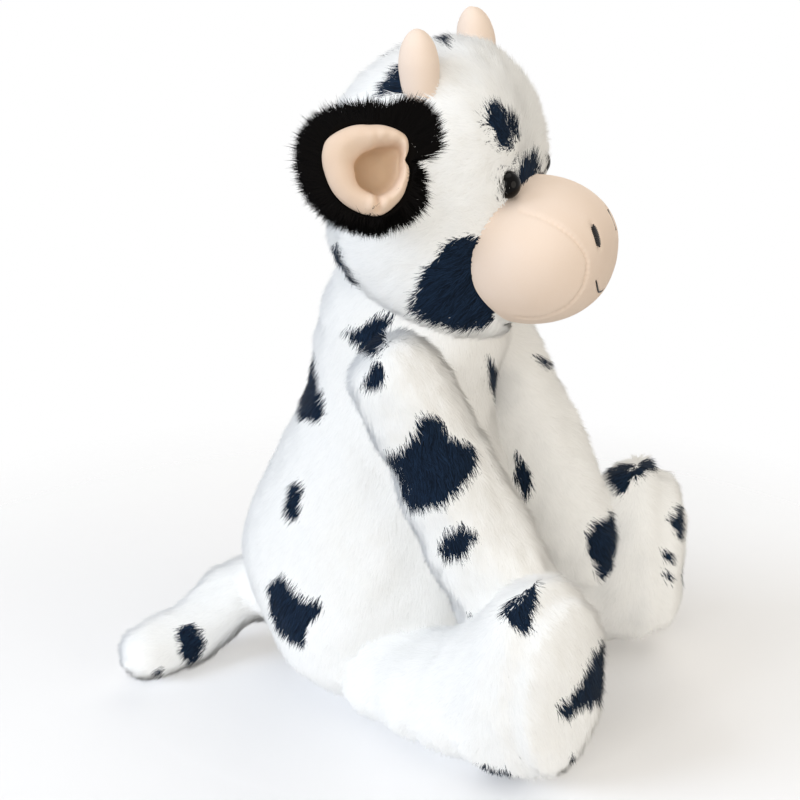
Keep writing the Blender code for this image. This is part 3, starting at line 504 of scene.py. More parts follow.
def tufts(name, body, root, normal, along, dye, length, width, material, lean, rough, ruffle):
    """Tufts of pile. Each is a thin closed spike that shares the shading of the skin below it."""
    count = len(root)
    rng = np.random.default_rng(len(name) * 97 + count)
    along = unit(lain(along, normal) + unit(rng.normal(size=(count, 3))) * (0.12 + 0.18 * ruffle))
    along = unit(lain(along, normal))
    # Locks a few millimetres wide swing together, and each tuft strays a little by itself
    locks = 0.42 * waves(root, 6.0, 21) + 0.35 * waves(root, 16.0, 22)
    swing = locks * ruffle + rng.normal(0, 0.14, count)
    side = np.cross(normal, along)
    along = unit(along * np.cos(swing)[:, None] + side * np.sin(swing)[:, None])
    side = np.cross(normal, along)
    tilt = lean + 0.10 * waves(root, 8.0, 23) * ruffle + 0.07 * rng.normal(size=count)
    ray = normal * np.cos(tilt)[:, None] + along * np.sin(tilt)[:, None]
    size = (length * rng.lognormal(0, 0.08, count) * (1 + 0.10 * ruffle * waves(root, 8.5, 24)))[:, None]
    half = width / 2 * rng.uniform(0.7, 1.25, count)[:, None]
    keel = np.cross(ray, side) * half * 0.6
    points = grounded(np.stack([root - side * half, root + side * half, root - keel, root + ray * size], 1))
    spike = np.array(((0, 1, 3), (1, 2, 3), (2, 0, 3)))
    face = np.cross(points[:, 1] - points[:, 0], points[:, 3] - points[:, 0])
    inward = (face * (points[:, [0, 1, 3]].mean(1) - points.mean(1))).sum(1) < 0
    faces = np.where(inward[:, None, None], spike[:, ::-1], spike)
    values = np.zeros((count, 4, 3), np.float32)
    values[..., 0] = dye[:, None]
    values[..., 1] = rng.uniform(0, 1, count)[:, None]
    # Place along the tuft, 0 at the root and 1 at the tip, which darkens the root as painted shade
    values[..., 2] = (0, 0, 0, 1)
    # Fine fibres take their light as the skin under them does, a little upward and puffed in locks
    puff = np.stack([waves(root, 8.5, 31 + i) + 0.6 * waves(root, 3.8, 34 + i) for i in range(3)], 1)
    stray = rough * side * rng.normal(size=(count, 1))
    shade = unit(normal + stray + 0.12 * along + 0.09 * ruffle * puff + UP * 0.2)
    parts = max(1, -(-count // TUFTS_PER_PIECE))
    off_x, off_y = (root[:, i] - root[:, i].mean() for i in (0, 1))
    order = np.argsort(np.arctan2(off_x, off_y), kind="stable")
    for part, chosen in enumerate(np.array_split(order, parts)):
        label = name if parts == 1 else name + "_" + "abcdefgh"[part]
        own = faces[chosen] + np.arange(len(chosen))[:, None, None] * 4
        mesh = mesh_of(label, points[chosen].reshape(-1, 3), own.ravel(), np.full(len(chosen) * 3, 3))
        tag(mesh, values[chosen].reshape(-1, 3))
        mesh.normals_split_custom_set_from_vertices(np.repeat(shade[chosen], 4, 0).tolist())
        # The fibres pass most light on to each other, so the pile shades nothing
        thing = add(label, mesh, body, material)
        thing.visible_shadow = thing.visible_diffuse = False


def scattered(grid, density, seed, inset):
    """Random places on a grid with their normals, a given number to a square millimetre."""
    rng = np.random.default_rng(seed)

    def corners(a):
        b = np.roll(a, -1, 1)
        return [x.reshape(-1, 3) for x in (a[:-1], a[1:], b[1:], b[:-1])]
    a, b, c, d = corners(grid)
    halves = (np.cross(b - a, d - a), np.cross(b - c, d - c))
    area = sum(np.linalg.norm(half, axis=1) for half in halves) / 2
    count = int(area.sum() * density)
    pick = rng.choice(len(area), count, p=area / area.sum())
    x, y = rng.random((2, count, 1))

    def blend(q):
        a, b, c, d = (k[pick] for k in corners(q))
        return (a * (1 - x) + b * x) * (1 - y) + (d * (1 - x) + c * x) * y
    normal = unit(blend(normals(grid)))
    return blend(grid) - normal * inset, normal


def shell_of(grid, margin=3.0):
    """A form to test places against, and how deep inside it a place counts as hidden."""
    faces = grid_faces(*grid.shape[:2]).reshape(-1, 4).tolist()
    points = grid.reshape(-1, 3)
    out = normals(grid).reshape(-1, 3)
    tree = BVHTree.FromPolygons([Vector(p) for p in points], faces)
    point, normal, index, _ = tree.find_nearest(Vector(points[len(points) // 2]))
    sign = 1 if np.dot(np.array(normal), out[faces[index][0]]) > 0 else -1
    return tree, sign, points.min(0) + margin, points.max(0) - margin, margin


def sunk(places, shells):
    """Which places lie hidden inside any of the forms."""
    inside = np.zeros(len(places), bool)
    for tree, sign, low, high, margin in shells:
        near = np.flatnonzero(((places > low) & (places < high)).all(1) & ~inside)
        for i in near:
            p = Vector(places[i])
            point, normal, _, _ = tree.find_nearest(p)
            if (p - point).dot(normal) * sign < -margin:
                inside[i] = True
    return inside


def pile(name, body, grid, comb, hidden_by, ruffle, trim=None, grow=None):
    """The pile of one body. A ruffle of 0 lies smooth, and 1 is tousled."""
    fur = FUR[body]
    root, normal = scattered(grid, TUFTS_PER_MM2, len(name) + 5, fur)
    keep = ~sunk(root, hidden_by) & (root[:, 2] > 1.0)
    if trim:
        keep &= trim(root)
    root, normal = root[keep], normal[keep]
    along = unit(lain(comb(root), normal))
    length = TUFT_LENGTH + 0.6 * ruffle
    if grow:
        length = grow(root, length)
    # A tuft is dyed for the place in the frame that its middle covers
    dye = dyed(body, root + normal * fur * 0.8 + along * 3.8, normal)
    lift = fur * np.random.default_rng(len(root)).uniform(0.1, 0.62, len(root))
    root = root + normal * (lift + 0.5 * ruffle * waves(root, 9.0, 26))[:, None]
    lean = TUFT_LEAN - 0.10 * ruffle
    tufts(name, body, root, normal, along, dye, length, TUFT_WIDTH, PILE, lean, 0.10, ruffle)


# Materials. All are fibres or plastics with an index of refraction near 1.5, which the shader has
def srgb(text):
    """A colour from its sRGB hex code."""
    values = [int(text[i:i + 2], 16) / 255 for i in (1, 3, 5)]
    return tuple(v / 12.92 if v <= 0.04045 else ((v + 0.055) / 1.055) ** 2.4 for v in values) + (1.0,)


def blank(name):
    """A material without nodes yet, and its node tree."""
    look = bpy.data.materials.new(name)
    look.use_nodes = True
    look.node_tree.nodes.clear()
    return look, look.node_tree


def node(tree, kind, inputs=(), **settings):
    """Adds a node, sets its properties, and sets or links its inputs by name or number."""
    made = tree.nodes.new("ShaderNode" + kind)
    for key, value in settings.items():
        setattr(made, key, value)
    for key, value in dict(inputs).items():
        if isinstance(value, bpy.types.NodeSocket):
            tree.links.new(value, made.inputs[key])
        else:
            made.inputs[key].default_value = value
    return made


def pile_material(name, pales, darks, sheen):
    """Cut pile, dyed where the attribute says so, each tuft of its own tone, with painted shade darkening it
    towards its root.
    """
    look, tree = blank(name)
    field = node(tree, "Attribute", attribute_name="pile").outputs["Vector"]
    dye, tone, reach = node(tree, "SeparateXYZ", {0: field}).outputs
    place = node(tree, "TexCoord").outputs["Object"]
    # The white yellows a little in clouds about as wide as a thumb, 14 mm
    cloud = node(tree, "TexNoise", {"Vector": place, "Scale": 1 / (14 * MM)}).outputs["Fac"]
    pale = node(tree, "Mix", {0: cloud, 6: srgb(pales[0]), 7: srgb(pales[1])}, data_type="RGBA")
    dark = node(tree, "Mix", {0: tone, 6: srgb(darks[0]), 7: srgb(darks[1])}, data_type="RGBA")
    colour = node(tree, "Mix", {0: dye, 6: pale.outputs[2], 7: dark.outputs[2]}, data_type="RGBA")
    # Painted shade: the colour darkens by up to 8% towards the root of each tuft and on the cloth under the
    # pile
    root_shade = node(tree, "MapRange", {0: reach, 3: 0.92, 4: 1.0})
    by_tone = node(tree, "MapRange", {0: tone, 3: 0.97, 4: 1.0})
    light = node(tree, "Math", {0: root_shade.outputs[0], 1: by_tone.outputs[0]}, operation="MULTIPLY")
    shaded = node(tree, "Mix", {0: 1.0, 6: colour.outputs[2], 7: light.outputs[0]}, data_type="RGBA",
                  blend_type="MULTIPLY")
    shader = node(tree, "BsdfPrincipled", {"Base Color": shaded.outputs[2], "Roughness": 0.8,
                                           "Specular IOR Level": 0.05, "Sheen Weight": sheen,
                                           "Sheen Roughness": 0.45})
    node(tree, "OutputMaterial", {"Surface": shader.outputs[0]})
    return look


def velboa_material(name, low, high, fleck, hollow_shade=None):
    """Sheared knitted nap, clouded from low to high with paler flecks, and, where a shade colour is given,
    with painted shade in its hollows.
    """
    look, tree = blank(name)
    place = node(tree, "TexCoord").outputs["Object"]
    # Clouds of 9 mm lie where hands have brushed the nap. Its fibres are about 0.05 mm thick, too
    # fine to show, so the flecks are drawn 0.5 mm wide and the relief 0.6 mm
    cloud = node(tree, "TexNoise", {"Vector": place, "Scale": 1 / (9 * MM)}).outputs["Fac"]
    flecks = node(tree, "TexNoise", {"Vector": place, "Scale": 1 / (0.5 * MM), "Detail": 3.0})
    nap = node(tree, "TexNoise", {"Vector": place, "Scale": 1 / (0.6 * MM)}).outputs["Fac"]
    tint = node(tree, "Mix", {0: cloud, 6: srgb(low), 7: srgb(high)}, data_type="RGBA").outputs[2]
    share = node(tree, "MapRange", {0: flecks.outputs["Fac"], 3: 0.0, 4: 0.3}).outputs[0]
    colour = node(tree, "Mix", {0: share, 6: tint, 7: srgb(fleck)}, data_type="RGBA").outputs[2]
    if hollow_shade:
        # Painted shade: the colour turns to the shade colour where the attribute says the cloth lies deep in
        # a hollow
        field = node(tree, "Attribute", attribute_name="pile").outputs["Vector"]
        depth = node(tree, "SeparateXYZ", {0: field}).outputs[0]
        colour = node(tree, "Mix", {0: depth, 6: colour, 7: srgb(hollow_shade)}, data_type="RGBA").outputs[2]
    bump = node(tree, "Bump", {"Strength": 0.2, "Distance": 0.2 * MM, "Height": nap})
    shader = node(tree, "BsdfPrincipled", {"Base Color": colour, "Roughness": 0.85,
                                           "Specular IOR Level": 0.15, "Sheen Weight": 0.06,
                                           "Sheen Roughness": 0.45, "Normal": bump.outputs[0]})
    node(tree, "OutputMaterial", {"Surface": shader.outputs[0]})
    return look


def grained_material(name, colours, grain_mm, roughness, bump_mm, specular=0.3):
    """An even finish whose colour wanders a little with its grain, and its relief with it."""
    look, tree = blank(name)
    place = node(tree, "TexCoord").outputs["Object"]
    grain = node(tree, "TexNoise", {"Vector": place, "Scale": 1 / (grain_mm * MM)}).outputs["Fac"]
    colour = node(tree, "Mix", {0: grain, 6: srgb(colours[0]), 7: srgb(colours[1])}, data_type="RGBA")
    inputs = {"Base Color": colour.outputs[2], "Roughness": roughness, "Specular IOR Level": specular}
    if bump_mm:
        bump = node(tree, "Bump", {"Strength": 0.5, "Distance": bump_mm * MM, "Height": grain})
        inputs["Normal"] = bump.outputs[0]
    shader = node(tree, "BsdfPrincipled", inputs)
    node(tree, "OutputMaterial", {"Surface": shader.outputs[0]})
    return look


# Cut polyester pile, white and dyed navy-black in patches: soft and matt, a bright cloud of fibres
PILE = pile_material("cut_pile_white_and_navy", ("#FDFDFC", "#F9F9F7"), ("#0A121D", "#1D2E44"), 0.04)
# The same cut pile dyed black right through: it takes in the light, and only its edge reads as fur
BLACK_PILE = pile_material("cut_pile_black", ("#070606", "#070606"), ("#040303", "#0A0807"), 0.0)
# Velboa, a knit with a very short nap that is sheared even: smooth as felt, with a faint glow
VELBOA = velboa_material("sheared_velboa_peach", "#F6E2D2", "#F4DECB", "#FBEEE2")
# The same velboa a shade deeper, pulled over the cup of the ear, with a painted warm shade that deepens down
# into its cup
LINING = velboa_material("sheared_velboa_lining_painted_shade", "#E9D0BA", "#E6CAB1", "#F0DCCA", "#D3B99C")
# Crimped polyester fibre, carded loose: white wadding. Its fibres are drawn as 1.5 mm clumps
FIBRE = grained_material("carded_polyester_fibre", ("#F2F1EC", "#E2E0D8"), 1.5, 0.9, 0.4)
# Plain woven cotton, undyed: dull and faintly rough. Threads 0.4 mm apart are drawn 0.8 mm wide
PELLET_CLOTH = grained_material("woven_cotton_undyed", ("#C9C3B4", "#B8B1A0"), 0.8, 0.9, 0.2)
# Rayon thread in satin stitch: near black with a silky shine. Its twist shows about every 0.6 mm
THREAD = grained_material("satin_stitched_rayon", ("#0E0C0C", "#1C1919"), 0.6, 0.45, 0.05)
# Acrylic, moulded and polished: a black dome that mirrors the lamps in small soft lights
EYE_PLASTIC = grained_material("polished_acrylic_black", ("#030202", "#070403"), 3.0, 0.05, 0.0, 0.1)
# Polypropylene straight from its mould: even, grey and a little waxy
WASHER = grained_material("moulded_polypropylene", ("#9A9B9E", "#8D8E91"), 2.0, 0.45, 0.02)

# Forms: points along and around, and how strongly and widely the stuffing presses out
TORSO = lumpy(tube(torso_rows(), 150, 150), 1.1, 46, 1)
PLAIN_HEAD = tube(head_rows(), 120, 130)
HEAD_FORM = lumpy(PLAIN_HEAD, 0.6, 40, 2)
HEAD_FORM -= (normals(HEAD_FORM) * BROW_DIP
              * falloff(np.linalg.norm(HEAD_FORM - BROW, axis=2), BROW_SPREAD)[..., None])
PLAIN_MUZZLE = tube(muzzle_rows(), 190, 200)
ARMS = {side: lumpy(tube(arm_rows(side), 110, 80), 1.1, 30, 3 + side) for side, _ in SIDES}
LEGS = {side: lumpy(tube(leg_rows(side), 120, 96), 1.1, 32, 6 + side) for side, _ in SIDES}
TAIL = lumpy(tube(tail_rows(), 90, 60), 0.7, 24, 9)
torso_shell, head_shell, brow_shell = shell_of(TORSO), shell_of(HEAD_FORM), shell_of(PLAIN_HEAD)
muzzle_shell, tail_shell = shell_of(PLAIN_MUZZLE[::3, ::3], 2.2), shell_of(TAIL)
arm_shells = {side: shell_of(ARMS[side]) for side, _ in SIDES}
leg_shells = {side: shell_of(LEGS[side]) for side, _ in SIDES}


def towards(side, turn, tilt):
    """A direction turned from the front to a side and tilted up, in degrees."""
    turn, tilt = radians(turn), radians(tilt)
    return np.array((side * sin(turn) * cos(tilt), -cos(turn) * cos(tilt), sin(tilt)))


def cast(shell, start, ray):
    """Where a ray from inside a form meets it, and the outward normal there."""
    point, normal, *_ = shell[0].ray_cast(Vector(start), Vector(ray))
    point, normal = np.array(point), np.array(normal)
    return point, normal * np.sign(normal @ ray)


# Torso
skin("torso_skin_cloth", TORSO, "torso", "torso_skin")
stuffing("torso_fibre", TORSO, "torso", "torso_stuffing", 9)
bag("seat_bag", "seat_pellet_bag", "torso")


def torso_comb(p):
    """Down the body, a little rearward and out."""
    return np.array((0, 0.25, -1.0)) + p * (0.0024, 0.0024, 0)


pile("torso_pile", "torso", TORSO, torso_comb,
     (head_shell, arm_shells[1], arm_shells[-1], leg_shells[1], leg_shells[-1], tail_shell), 0.35)

# Head
skin("head_skin_cloth", HEAD_FORM, "head", "head_skin")
stuffing("head_fibre", HEAD_FORM, "head", "head_stuffing", 9)

# Eyes: where each sits, its radius, and how deep it is set. The left one is set deeper, so that it
# only just shows past the brow
EYES = {side: cast(brow_shell, HEAD, towards(side, 31, 8)) for side, _ in SIDES}
EYE_RADIUS, EYE_SET = 5.5, {1: 4.8, -1: 2.4}


def beside_muzzle(p):
    """How far places lie out from the round of the muzzle, and the way out from it."""
    wide, _, high = MUZZLE_HALF
    mean_radius = 34
    out = (p - MUZZLE) / (wide, 1, high)
    out[:, 1] = 0
    share = np.linalg.norm(out, axis=1)
    return (share - 1) * mean_radius, unit(out + np.array((0, 0.5, 0)))


def head_comb(p):
    """Pile flows away from the bridge of the nose and falls a little, but leans over the eyes."""
    bridge = np.array((0.0, -74.0, 222.0))
    flow = unit(p - bridge) + np.array((0, 0, -0.45))
    gap, away = beside_muzzle(p)
    flow = flow + away * 2.5 * falloff(gap, 7)[:, None]
    for point, _ in EYES.values():
        to_eye = point - p
        far = np.linalg.norm(to_eye, axis=1, keepdims=True)
        behind = np.clip(to_eye @ -REARWARD / 5.0, 0, 1)[:, None]
        flow = flow + unit(to_eye) * 3.0 * behind * falloff(far, 7.5)
    return flow


def clear_of_eyes(p):
    """Keeps pile off the domes, but for a little of their rear edges."""
    keep = np.ones(len(p), bool)
    for point, out in EYES.values():
        off = p - (point - out * FUR["head"])
        rear = np.clip(off @ REARWARD / 5.0, 0, 1)
        keep &= np.linalg.norm(off, axis=1) > 5.2 - 2.2 * rear
    return keep


def longer_behind_eyes(p, length):
    """The pile behind the eyes is up to 2 mm longer, and closes round their rear edges."""
    for point, _ in EYES.values():
        off = p - point
        behind = np.clip(off @ REARWARD / 4.0, 0, 1)
        length = length + 2.0 * behind * falloff(np.linalg.norm(off, axis=1), 8.5)
    return length


def reshape(thing, low, high, scale, shift=0.0):
    """Scales the points of a piece between two heights about its origin, then moves them up."""
    bpy.ops.object.mode_set(mode="EDIT")
    bpy.ops.mesh.select_mode(type="VERT")
    bpy.ops.mesh.select_all(action="DESELECT")
    bpy.ops.object.mode_set(mode="OBJECT")
    for v in thing.data.vertices:
        v.select = low <= v.co.z / MM < high
    bpy.ops.object.mode_set(mode="EDIT")
    bpy.ops.transform.resize(value=scale, center_override=(0, 0, 0))
    bpy.ops.transform.translate(value=(0, 0, shift * MM))
    bpy.ops.object.mode_set(mode="OBJECT")


def eye_model():
    """A domed eye with a flat back and a shank, upright at the origin."""
    shank_start, shank_end = -3.2, -9.0
    bpy.ops.mesh.primitive_uv_sphere_add(segments=64, ring_count=40, radius=EYE_RADIUS * MM)
    dome = bpy.context.object
    reshape(dome, 0, EYE_RADIUS * 2, (1, 1, 0.86))
    reshape(dome, -EYE_RADIUS * 2, shank_start, (0.45, 0.45, 0), shank_end)
    reshape(dome, shank_start, 0, (1, 1, 0.25))
    bpy.ops.object.shade_smooth()
    dome.data.materials.append(EYE_PLASTIC)
    return dome


def set_eye(model, side, word):
    """Sets a copy of the eye a little into the pile, facing out, with its washer behind it."""
    point, out = EYES[side]
    dome = model.copy()
    dome.data = model.data.copy()
    dome.name = dome.data.name = word + "_eye_dome"
    bpy.context.scene.collection.objects.link(dome)
    dome.rotation_euler = Vector(out).to_track_quat("Z", "Y").to_euler()
    dome.location = (point - out * EYE_SET[side]) * MM
    bpy.ops.object.select_all(action="DESELECT")
    dome.select_set(True)
    bpy.context.view_layer.objects.active = dome
    bpy.ops.object.transform_apply(location=True, rotation=True, scale=True)
    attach(dome, "head")
    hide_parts(word + "_eye")
    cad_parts[word + "_eye_washer"].data.materials[0] = WASHER


bpy.ops.object.select_all(action="DESELECT")
dome_model = eye_model()
for side, word in SIDES:
    set_eye(dome_model, side, word)
bpy.data.meshes.remove(dome_model.data)

# Muzzle: the seam between the front panel and the cheek, as it shows in the frame
SEAM_PX = ((521, 211), (535, 215), (549, 221), (562, 229), (573, 238), (582, 249), (587, 260), (587, 271),
           (584, 284), (577, 296), (566, 307), (552, 314), (536, 318), (518, 317))
SEAM_STEP = 0.55
# The right nostril's middle, top and foot in the frame. The left one mirrors it a little nearer to
# the middle, and is drawn deeper into the nap
NOSTRIL_PX = ((597, 235.5), (594.5, 226), (600, 245))
NOSTRIL_SHIFT_PX, NOSTRIL_SUNK, NOSTRIL_DENT = {1: 4, -1: 0}, {1: 1.1, -1: 0.55}, {1: 1.5, -1: 0.9}
NOSTRIL_HALF_WIDTH, NOSTRIL_HALF_LENGTH, NOSTRIL_STITCHES = 2.1, 4.3, 13
# The mouth: half its width, how far it lies under the muzzle's middle, and how far its ends rise
MOUTH_HALF_WIDTH, MOUTH_DROP, MOUTH_RISE, MOUTH_SUNK = 12.5, 15.0, 8.0, 0.65
THREAD_RADIUS = 0.42


def seam_points():
    """The seam between the round front panel and each cheek panel, on both sides."""
    fine = eased(np.array([on_muzzle(x, y)[0] for x, y in SEAM_PX]), 160)
    return np.vstack([fine, fine * (-1, 1, 1)])


def nearest(points, line):
    """Distance to a line of points, and which of them is nearest."""
    flat = points.reshape(-1, 3)
    far = np.full(len(flat), 1e9)
    which = np.zeros(len(flat), int)
    for i, q in enumerate(line):
        d = ((flat - q) ** 2).sum(1)
        closer = d < far
        far[closer] = d[closer]
        which[closer] = i
    return np.sqrt(far).reshape(points.shape[:-1]), which.reshape(points.shape[:-1])


def sewn(grid, line, depth=1.0, reach=0.8, pucker_pitch=2.6, swell=0.45):
    """Draws cloth in along a seam, swells it beside the seam, and puckers it where a pitch is given."""
    far, which = nearest(grid, line)
    inward = depth * falloff(far, reach) - swell * falloff(far, 5.0)
    if pucker_pitch:
        turns = which * SEAM_STEP / pucker_pitch
        inward = inward + 0.12 * falloff(far, 2.2 * reach) * np.sin(2 * pi * turns)
    return grid - normals(grid) * inward[..., None]


def nostril_lines(side):
    """Satin stitches side by side across a nostril."""
    (point, out), (top, _), (foot, _) = (on_muzzle(x - NOSTRIL_SHIFT_PX[side], y) for x, y in NOSTRIL_PX)
    out = out * np.sign(out @ (point - MUZZLE))
    along = unit(top - foot)
    across = unit(np.cross(along, out))
    lines = []
    for x in np.linspace(-1, 1, NOSTRIL_STITCHES):
        half = NOSTRIL_HALF_WIDTH * max(0.0, 1 - x * x) ** 0.5 + 0.25
        middle = point + along * x * NOSTRIL_HALF_LENGTH - out * NOSTRIL_SUNK[side]
        line = [middle + across * half * s + out * 0.3 * (1 - s * s) for s in np.linspace(-1, 1, 7)]
        lines.append(np.array(line) * (-side, 1, 1))
    return lines


def mouth_path():
    """The line of the smile, sunk in the nap."""
    path = []
    for s in np.linspace(-1, 1, 41):
        start = MUZZLE + (s * MOUTH_HALF_WIDTH, 0, -MOUTH_DROP + MOUTH_RISE * s * s)
        point, out = cast(muzzle_shell, start, -REARWARD)
        path.append(point - out * MOUTH_SUNK)
    return np.array(path)


NOSTRILS = {side: nostril_lines(side) for side, _ in SIDES}
MOUTH = mouth_path()


def muzzle_cloth():
    """The muzzle's skin, drawn in by its seams and by the stitches."""
    cloth = sewn(PLAIN_MUZZLE - normals(PLAIN_MUZZLE) * 0.3, seam_points())
    cloth = sewn(cloth, MOUTH, 1.0, 0.9, None, 0.2)
    for side, lines in NOSTRILS.items():
        middles = np.array([line[3] for line in lines])
        cloth = sewn(cloth, middles, NOSTRIL_DENT[side], 2.0, None, 0.4)
    return cloth


def velboa(name, grid, node_name):
    """A piece of the head in peach velboa."""
    thing = add(name, grid_mesh(name, grid), "head", VELBOA, (node_name,))


MUZZLE_CLOTH = muzzle_cloth()
velboa("muzzle_velboa", MUZZLE_CLOTH, "muzzle_skin")
stuffing("muzzle_fibre", MUZZLE_CLOTH, "head", "muzzle_stuffing", 4)


def thread(name, lines, node_name):
    """Satin stitches: short round threads laid along lines of points."""
    around = 6
    turns = np.linspace(0, 2 * pi, around, endpoint=False)
    points, corners, sizes, at = [], [], [], 0
    for line in lines:
        ahead = unit(np.gradient(line, axis=0))
        across = unit(np.cross(ahead, UP + 0.01))
        deep = np.cross(across, ahead)
        taper = THREAD_RADIUS * np.sin(np.linspace(0.25, pi - 0.25, len(line))) ** 0.4
        spokes = across[:, None] * np.cos(turns)[:, None] + deep[:, None] * np.sin(turns)[:, None]
        points.append((line[:, None] + spokes * taper[:, None, None]).reshape(-1, 3))
        walls = grid_faces(len(line), around).reshape(-1, 4)
        ends = ([*range(around - 1, -1, -1)], [*range((len(line) - 1) * around, len(line) * around)])
        corners += [at + i for i in (*walls.ravel(), *ends[0], *ends[1])]
        sizes += [4] * len(walls) + [around] * 2
        at += len(line) * around
    mesh = mesh_of(name, np.vstack(points), np.array(corners), np.array(sizes))
    add(name, mesh, "head", THREAD, (node_name,))


for side, word in SIDES:
    thread(word + "_nostril_stitches", NOSTRILS[side], word + "_nostril")
# The mouth's stitches overlap, as they do in a back stitch
thread("mouth_stitches", [MOUTH[i:i + 6] + UP * 0.12 for i in range(0, 36, 2)], "mouth_stitch")


# Horns
def horn(side, word):
    """A horn of velboa on the crown, leaning in and back, with a seam up its side."""
    base, _ = cast(brow_shell, HEAD, towards(side, 83, 56))
    lean = radians(7)
    rise = unit(np.array((-side * sin(lean), sin(lean), cos(lean))))
    across = unit(np.cross(rise, (0, 1, 0)))
    deep = np.cross(rise, across)
    # Height over the head, and radius there
    table = ((-11, 0), (-11, 5.5), (-6, 6.8), (0, 7.6), (4, 7.8), (8, 7.3), (11.5, 6.3), (14.3, 4.7),
             (16.2, 2.8), (17.1, 1.1), (17.3, 0))
    grid = tube([row(base + rise * at, across * r, deep * r) for at, r in table], 60, 64)
    grid = sewn(grid, grid[4:58, 26], 0.35, 0.8, 2.0)
    velboa(word + "_horn_velboa", grid, word + "_horn_skin")
    stuffing(word + "_horn_fibre", grid, "head", word + "_horn_stuffing", 2.6)


for side, word in SIDES:
    horn(side, word)

# Ears: outlines in the plane of the ear, along it from its root and up it
EAR_OUTER = ((-0.1, 24.4), (-4.4, 14.4), (-3.0, 5.1), (4.0, 3.0), (9.0, 2.4), (5.0, 0.4), (3.3, -5.5),
             (4.3, -12.9), (10.1, -19.7), (25.1, -24.3), (36.1, -21.9), (47.3, -13.7), (53.2, -2.5),
             (54.4, 9.0), (50.9, 19.8), (41.4, 27.0), (28.8, 28.7), (15.7, 27.0), (7.1, 27.3))
EAR_LINING = ((42.5, 9.3), (40.3, 14.6), (34.2, 17.6), (23.7, 18.1), (16.3, 16.6), (10.2, 12.5), (9.9, 7.7),
              (12.4, 3.5), (10.9, 1.2), (12.9, -6.1), (18.7, -12.9), (24.8, -15.8), (32.9, -12.8),
              (38.8, -7.3), (42.2, 1.7))
EAR_LIP = ((32.2, 5.0), (30.0, 7.6), (24.9, 9.7), (18.2, 10.3), (12.9, 8.9), (13.6, 2.5), (15.4, -3.8),
           (23.9, -9.3), (27.4, -7.4), (31.6, -3.6), (32.3, 1.3))
EAR_MIDDLE = np.array((23.0, 2.0))
EAR_SWEEP, EAR_DROOP, EAR_FACE_UP = radians(30), radians(6), radians(19)
EAR_TUFTS_PER_MM2, EAR_TUFT_WIDTH = 5.0, 0.55
EAR_TURNS = np.linspace(-pi, pi, 160, endpoint=False)
EAR_SPOKES = np.stack([np.cos(EAR_TURNS), np.sin(EAR_TURNS)], 1)


def ear_ring(outline, spread):
    """How far the outline lies from the middle of the ear at each turn, smoothed a little."""
    q = np.array(outline) - EAR_MIDDLE
    turn = np.arctan2(q[:, 1], q[:, 0])
    order = np.argsort(turn)
    far = np.interp(EAR_TURNS, turn[order], np.linalg.norm(q, axis=1)[order], period=2 * pi)
    kernel = np.hanning(spread + 2)[1:-1]
    pad = spread // 2
    return np.convolve(np.concatenate([far[-pad:], far, far[:pad]]), kernel / kernel.sum(), "valid")


def crest(turn, width):
    """A crest across the ring of the ear at a turn."""
    return falloff((EAR_TURNS - turn + pi) % (2 * pi) - pi, width)


EAR_EDGE, LINING_EDGE, LIP_EDGE = ear_ring(EAR_OUTER, 5), ear_ring(EAR_LINING, 7), ear_ring(EAR_LIP, 7)
# The pinch at the foot of the lining with a fold on each side of it, and small ripples in the rim
PLEAT = (-1.7 * crest(-1.45, 0.075) + 0.9 * crest(-1.25, 0.1) + 0.9 * crest(-1.68, 0.12)
         + 0.5 * crest(2.6, 0.12))
RIPPLE = (0.16 * np.sin(EAR_TURNS * 17 + 1.0) * crest(2.0, 0.9)
          + 0.14 * np.sin(EAR_TURNS * 13) * crest(-2.4, 0.5))
# The ear lies lower towards its root
ROOT_DROP = 2.4 * crest(pi, 0.8)


def ear_frame(side):
    """The root of an ear, its plane as two directions, along and up, and the way it faces."""
    root, _ = cast(brow_shell, HEAD, towards(side, 70, 19))
    along = np.array((side * sin(EAR_SWEEP) * cos(EAR_DROOP), cos(EAR_SWEEP) * cos(EAR_DROOP),
                      -sin(EAR_DROOP)))
    face = np.array((side * cos(EAR_SWEEP), -sin(EAR_SWEEP), 0)) * cos(EAR_FACE_UP) + UP * sin(EAR_FACE_UP)
    face = unit(face - along * (face @ along))
    return root, np.stack([along, np.cross(along, face) * -side]), face


def ear_points(place, far, height):
    """Points at a distance from the ear's middle at each turn, raised off its plane."""
    root, plane, face = place
    flat = EAR_MIDDLE + EAR_SPOKES * np.broadcast_to(far, len(EAR_TURNS))[:, None]
    return root + flat @ plane + np.outer(np.broadcast_to(height, len(EAR_TURNS)), face)


def ear_form(rings, count):
    """A grid through rings of points."""
    return eased(np.array([ring.ravel() for ring in rings]), count).reshape(count, -1, 3)


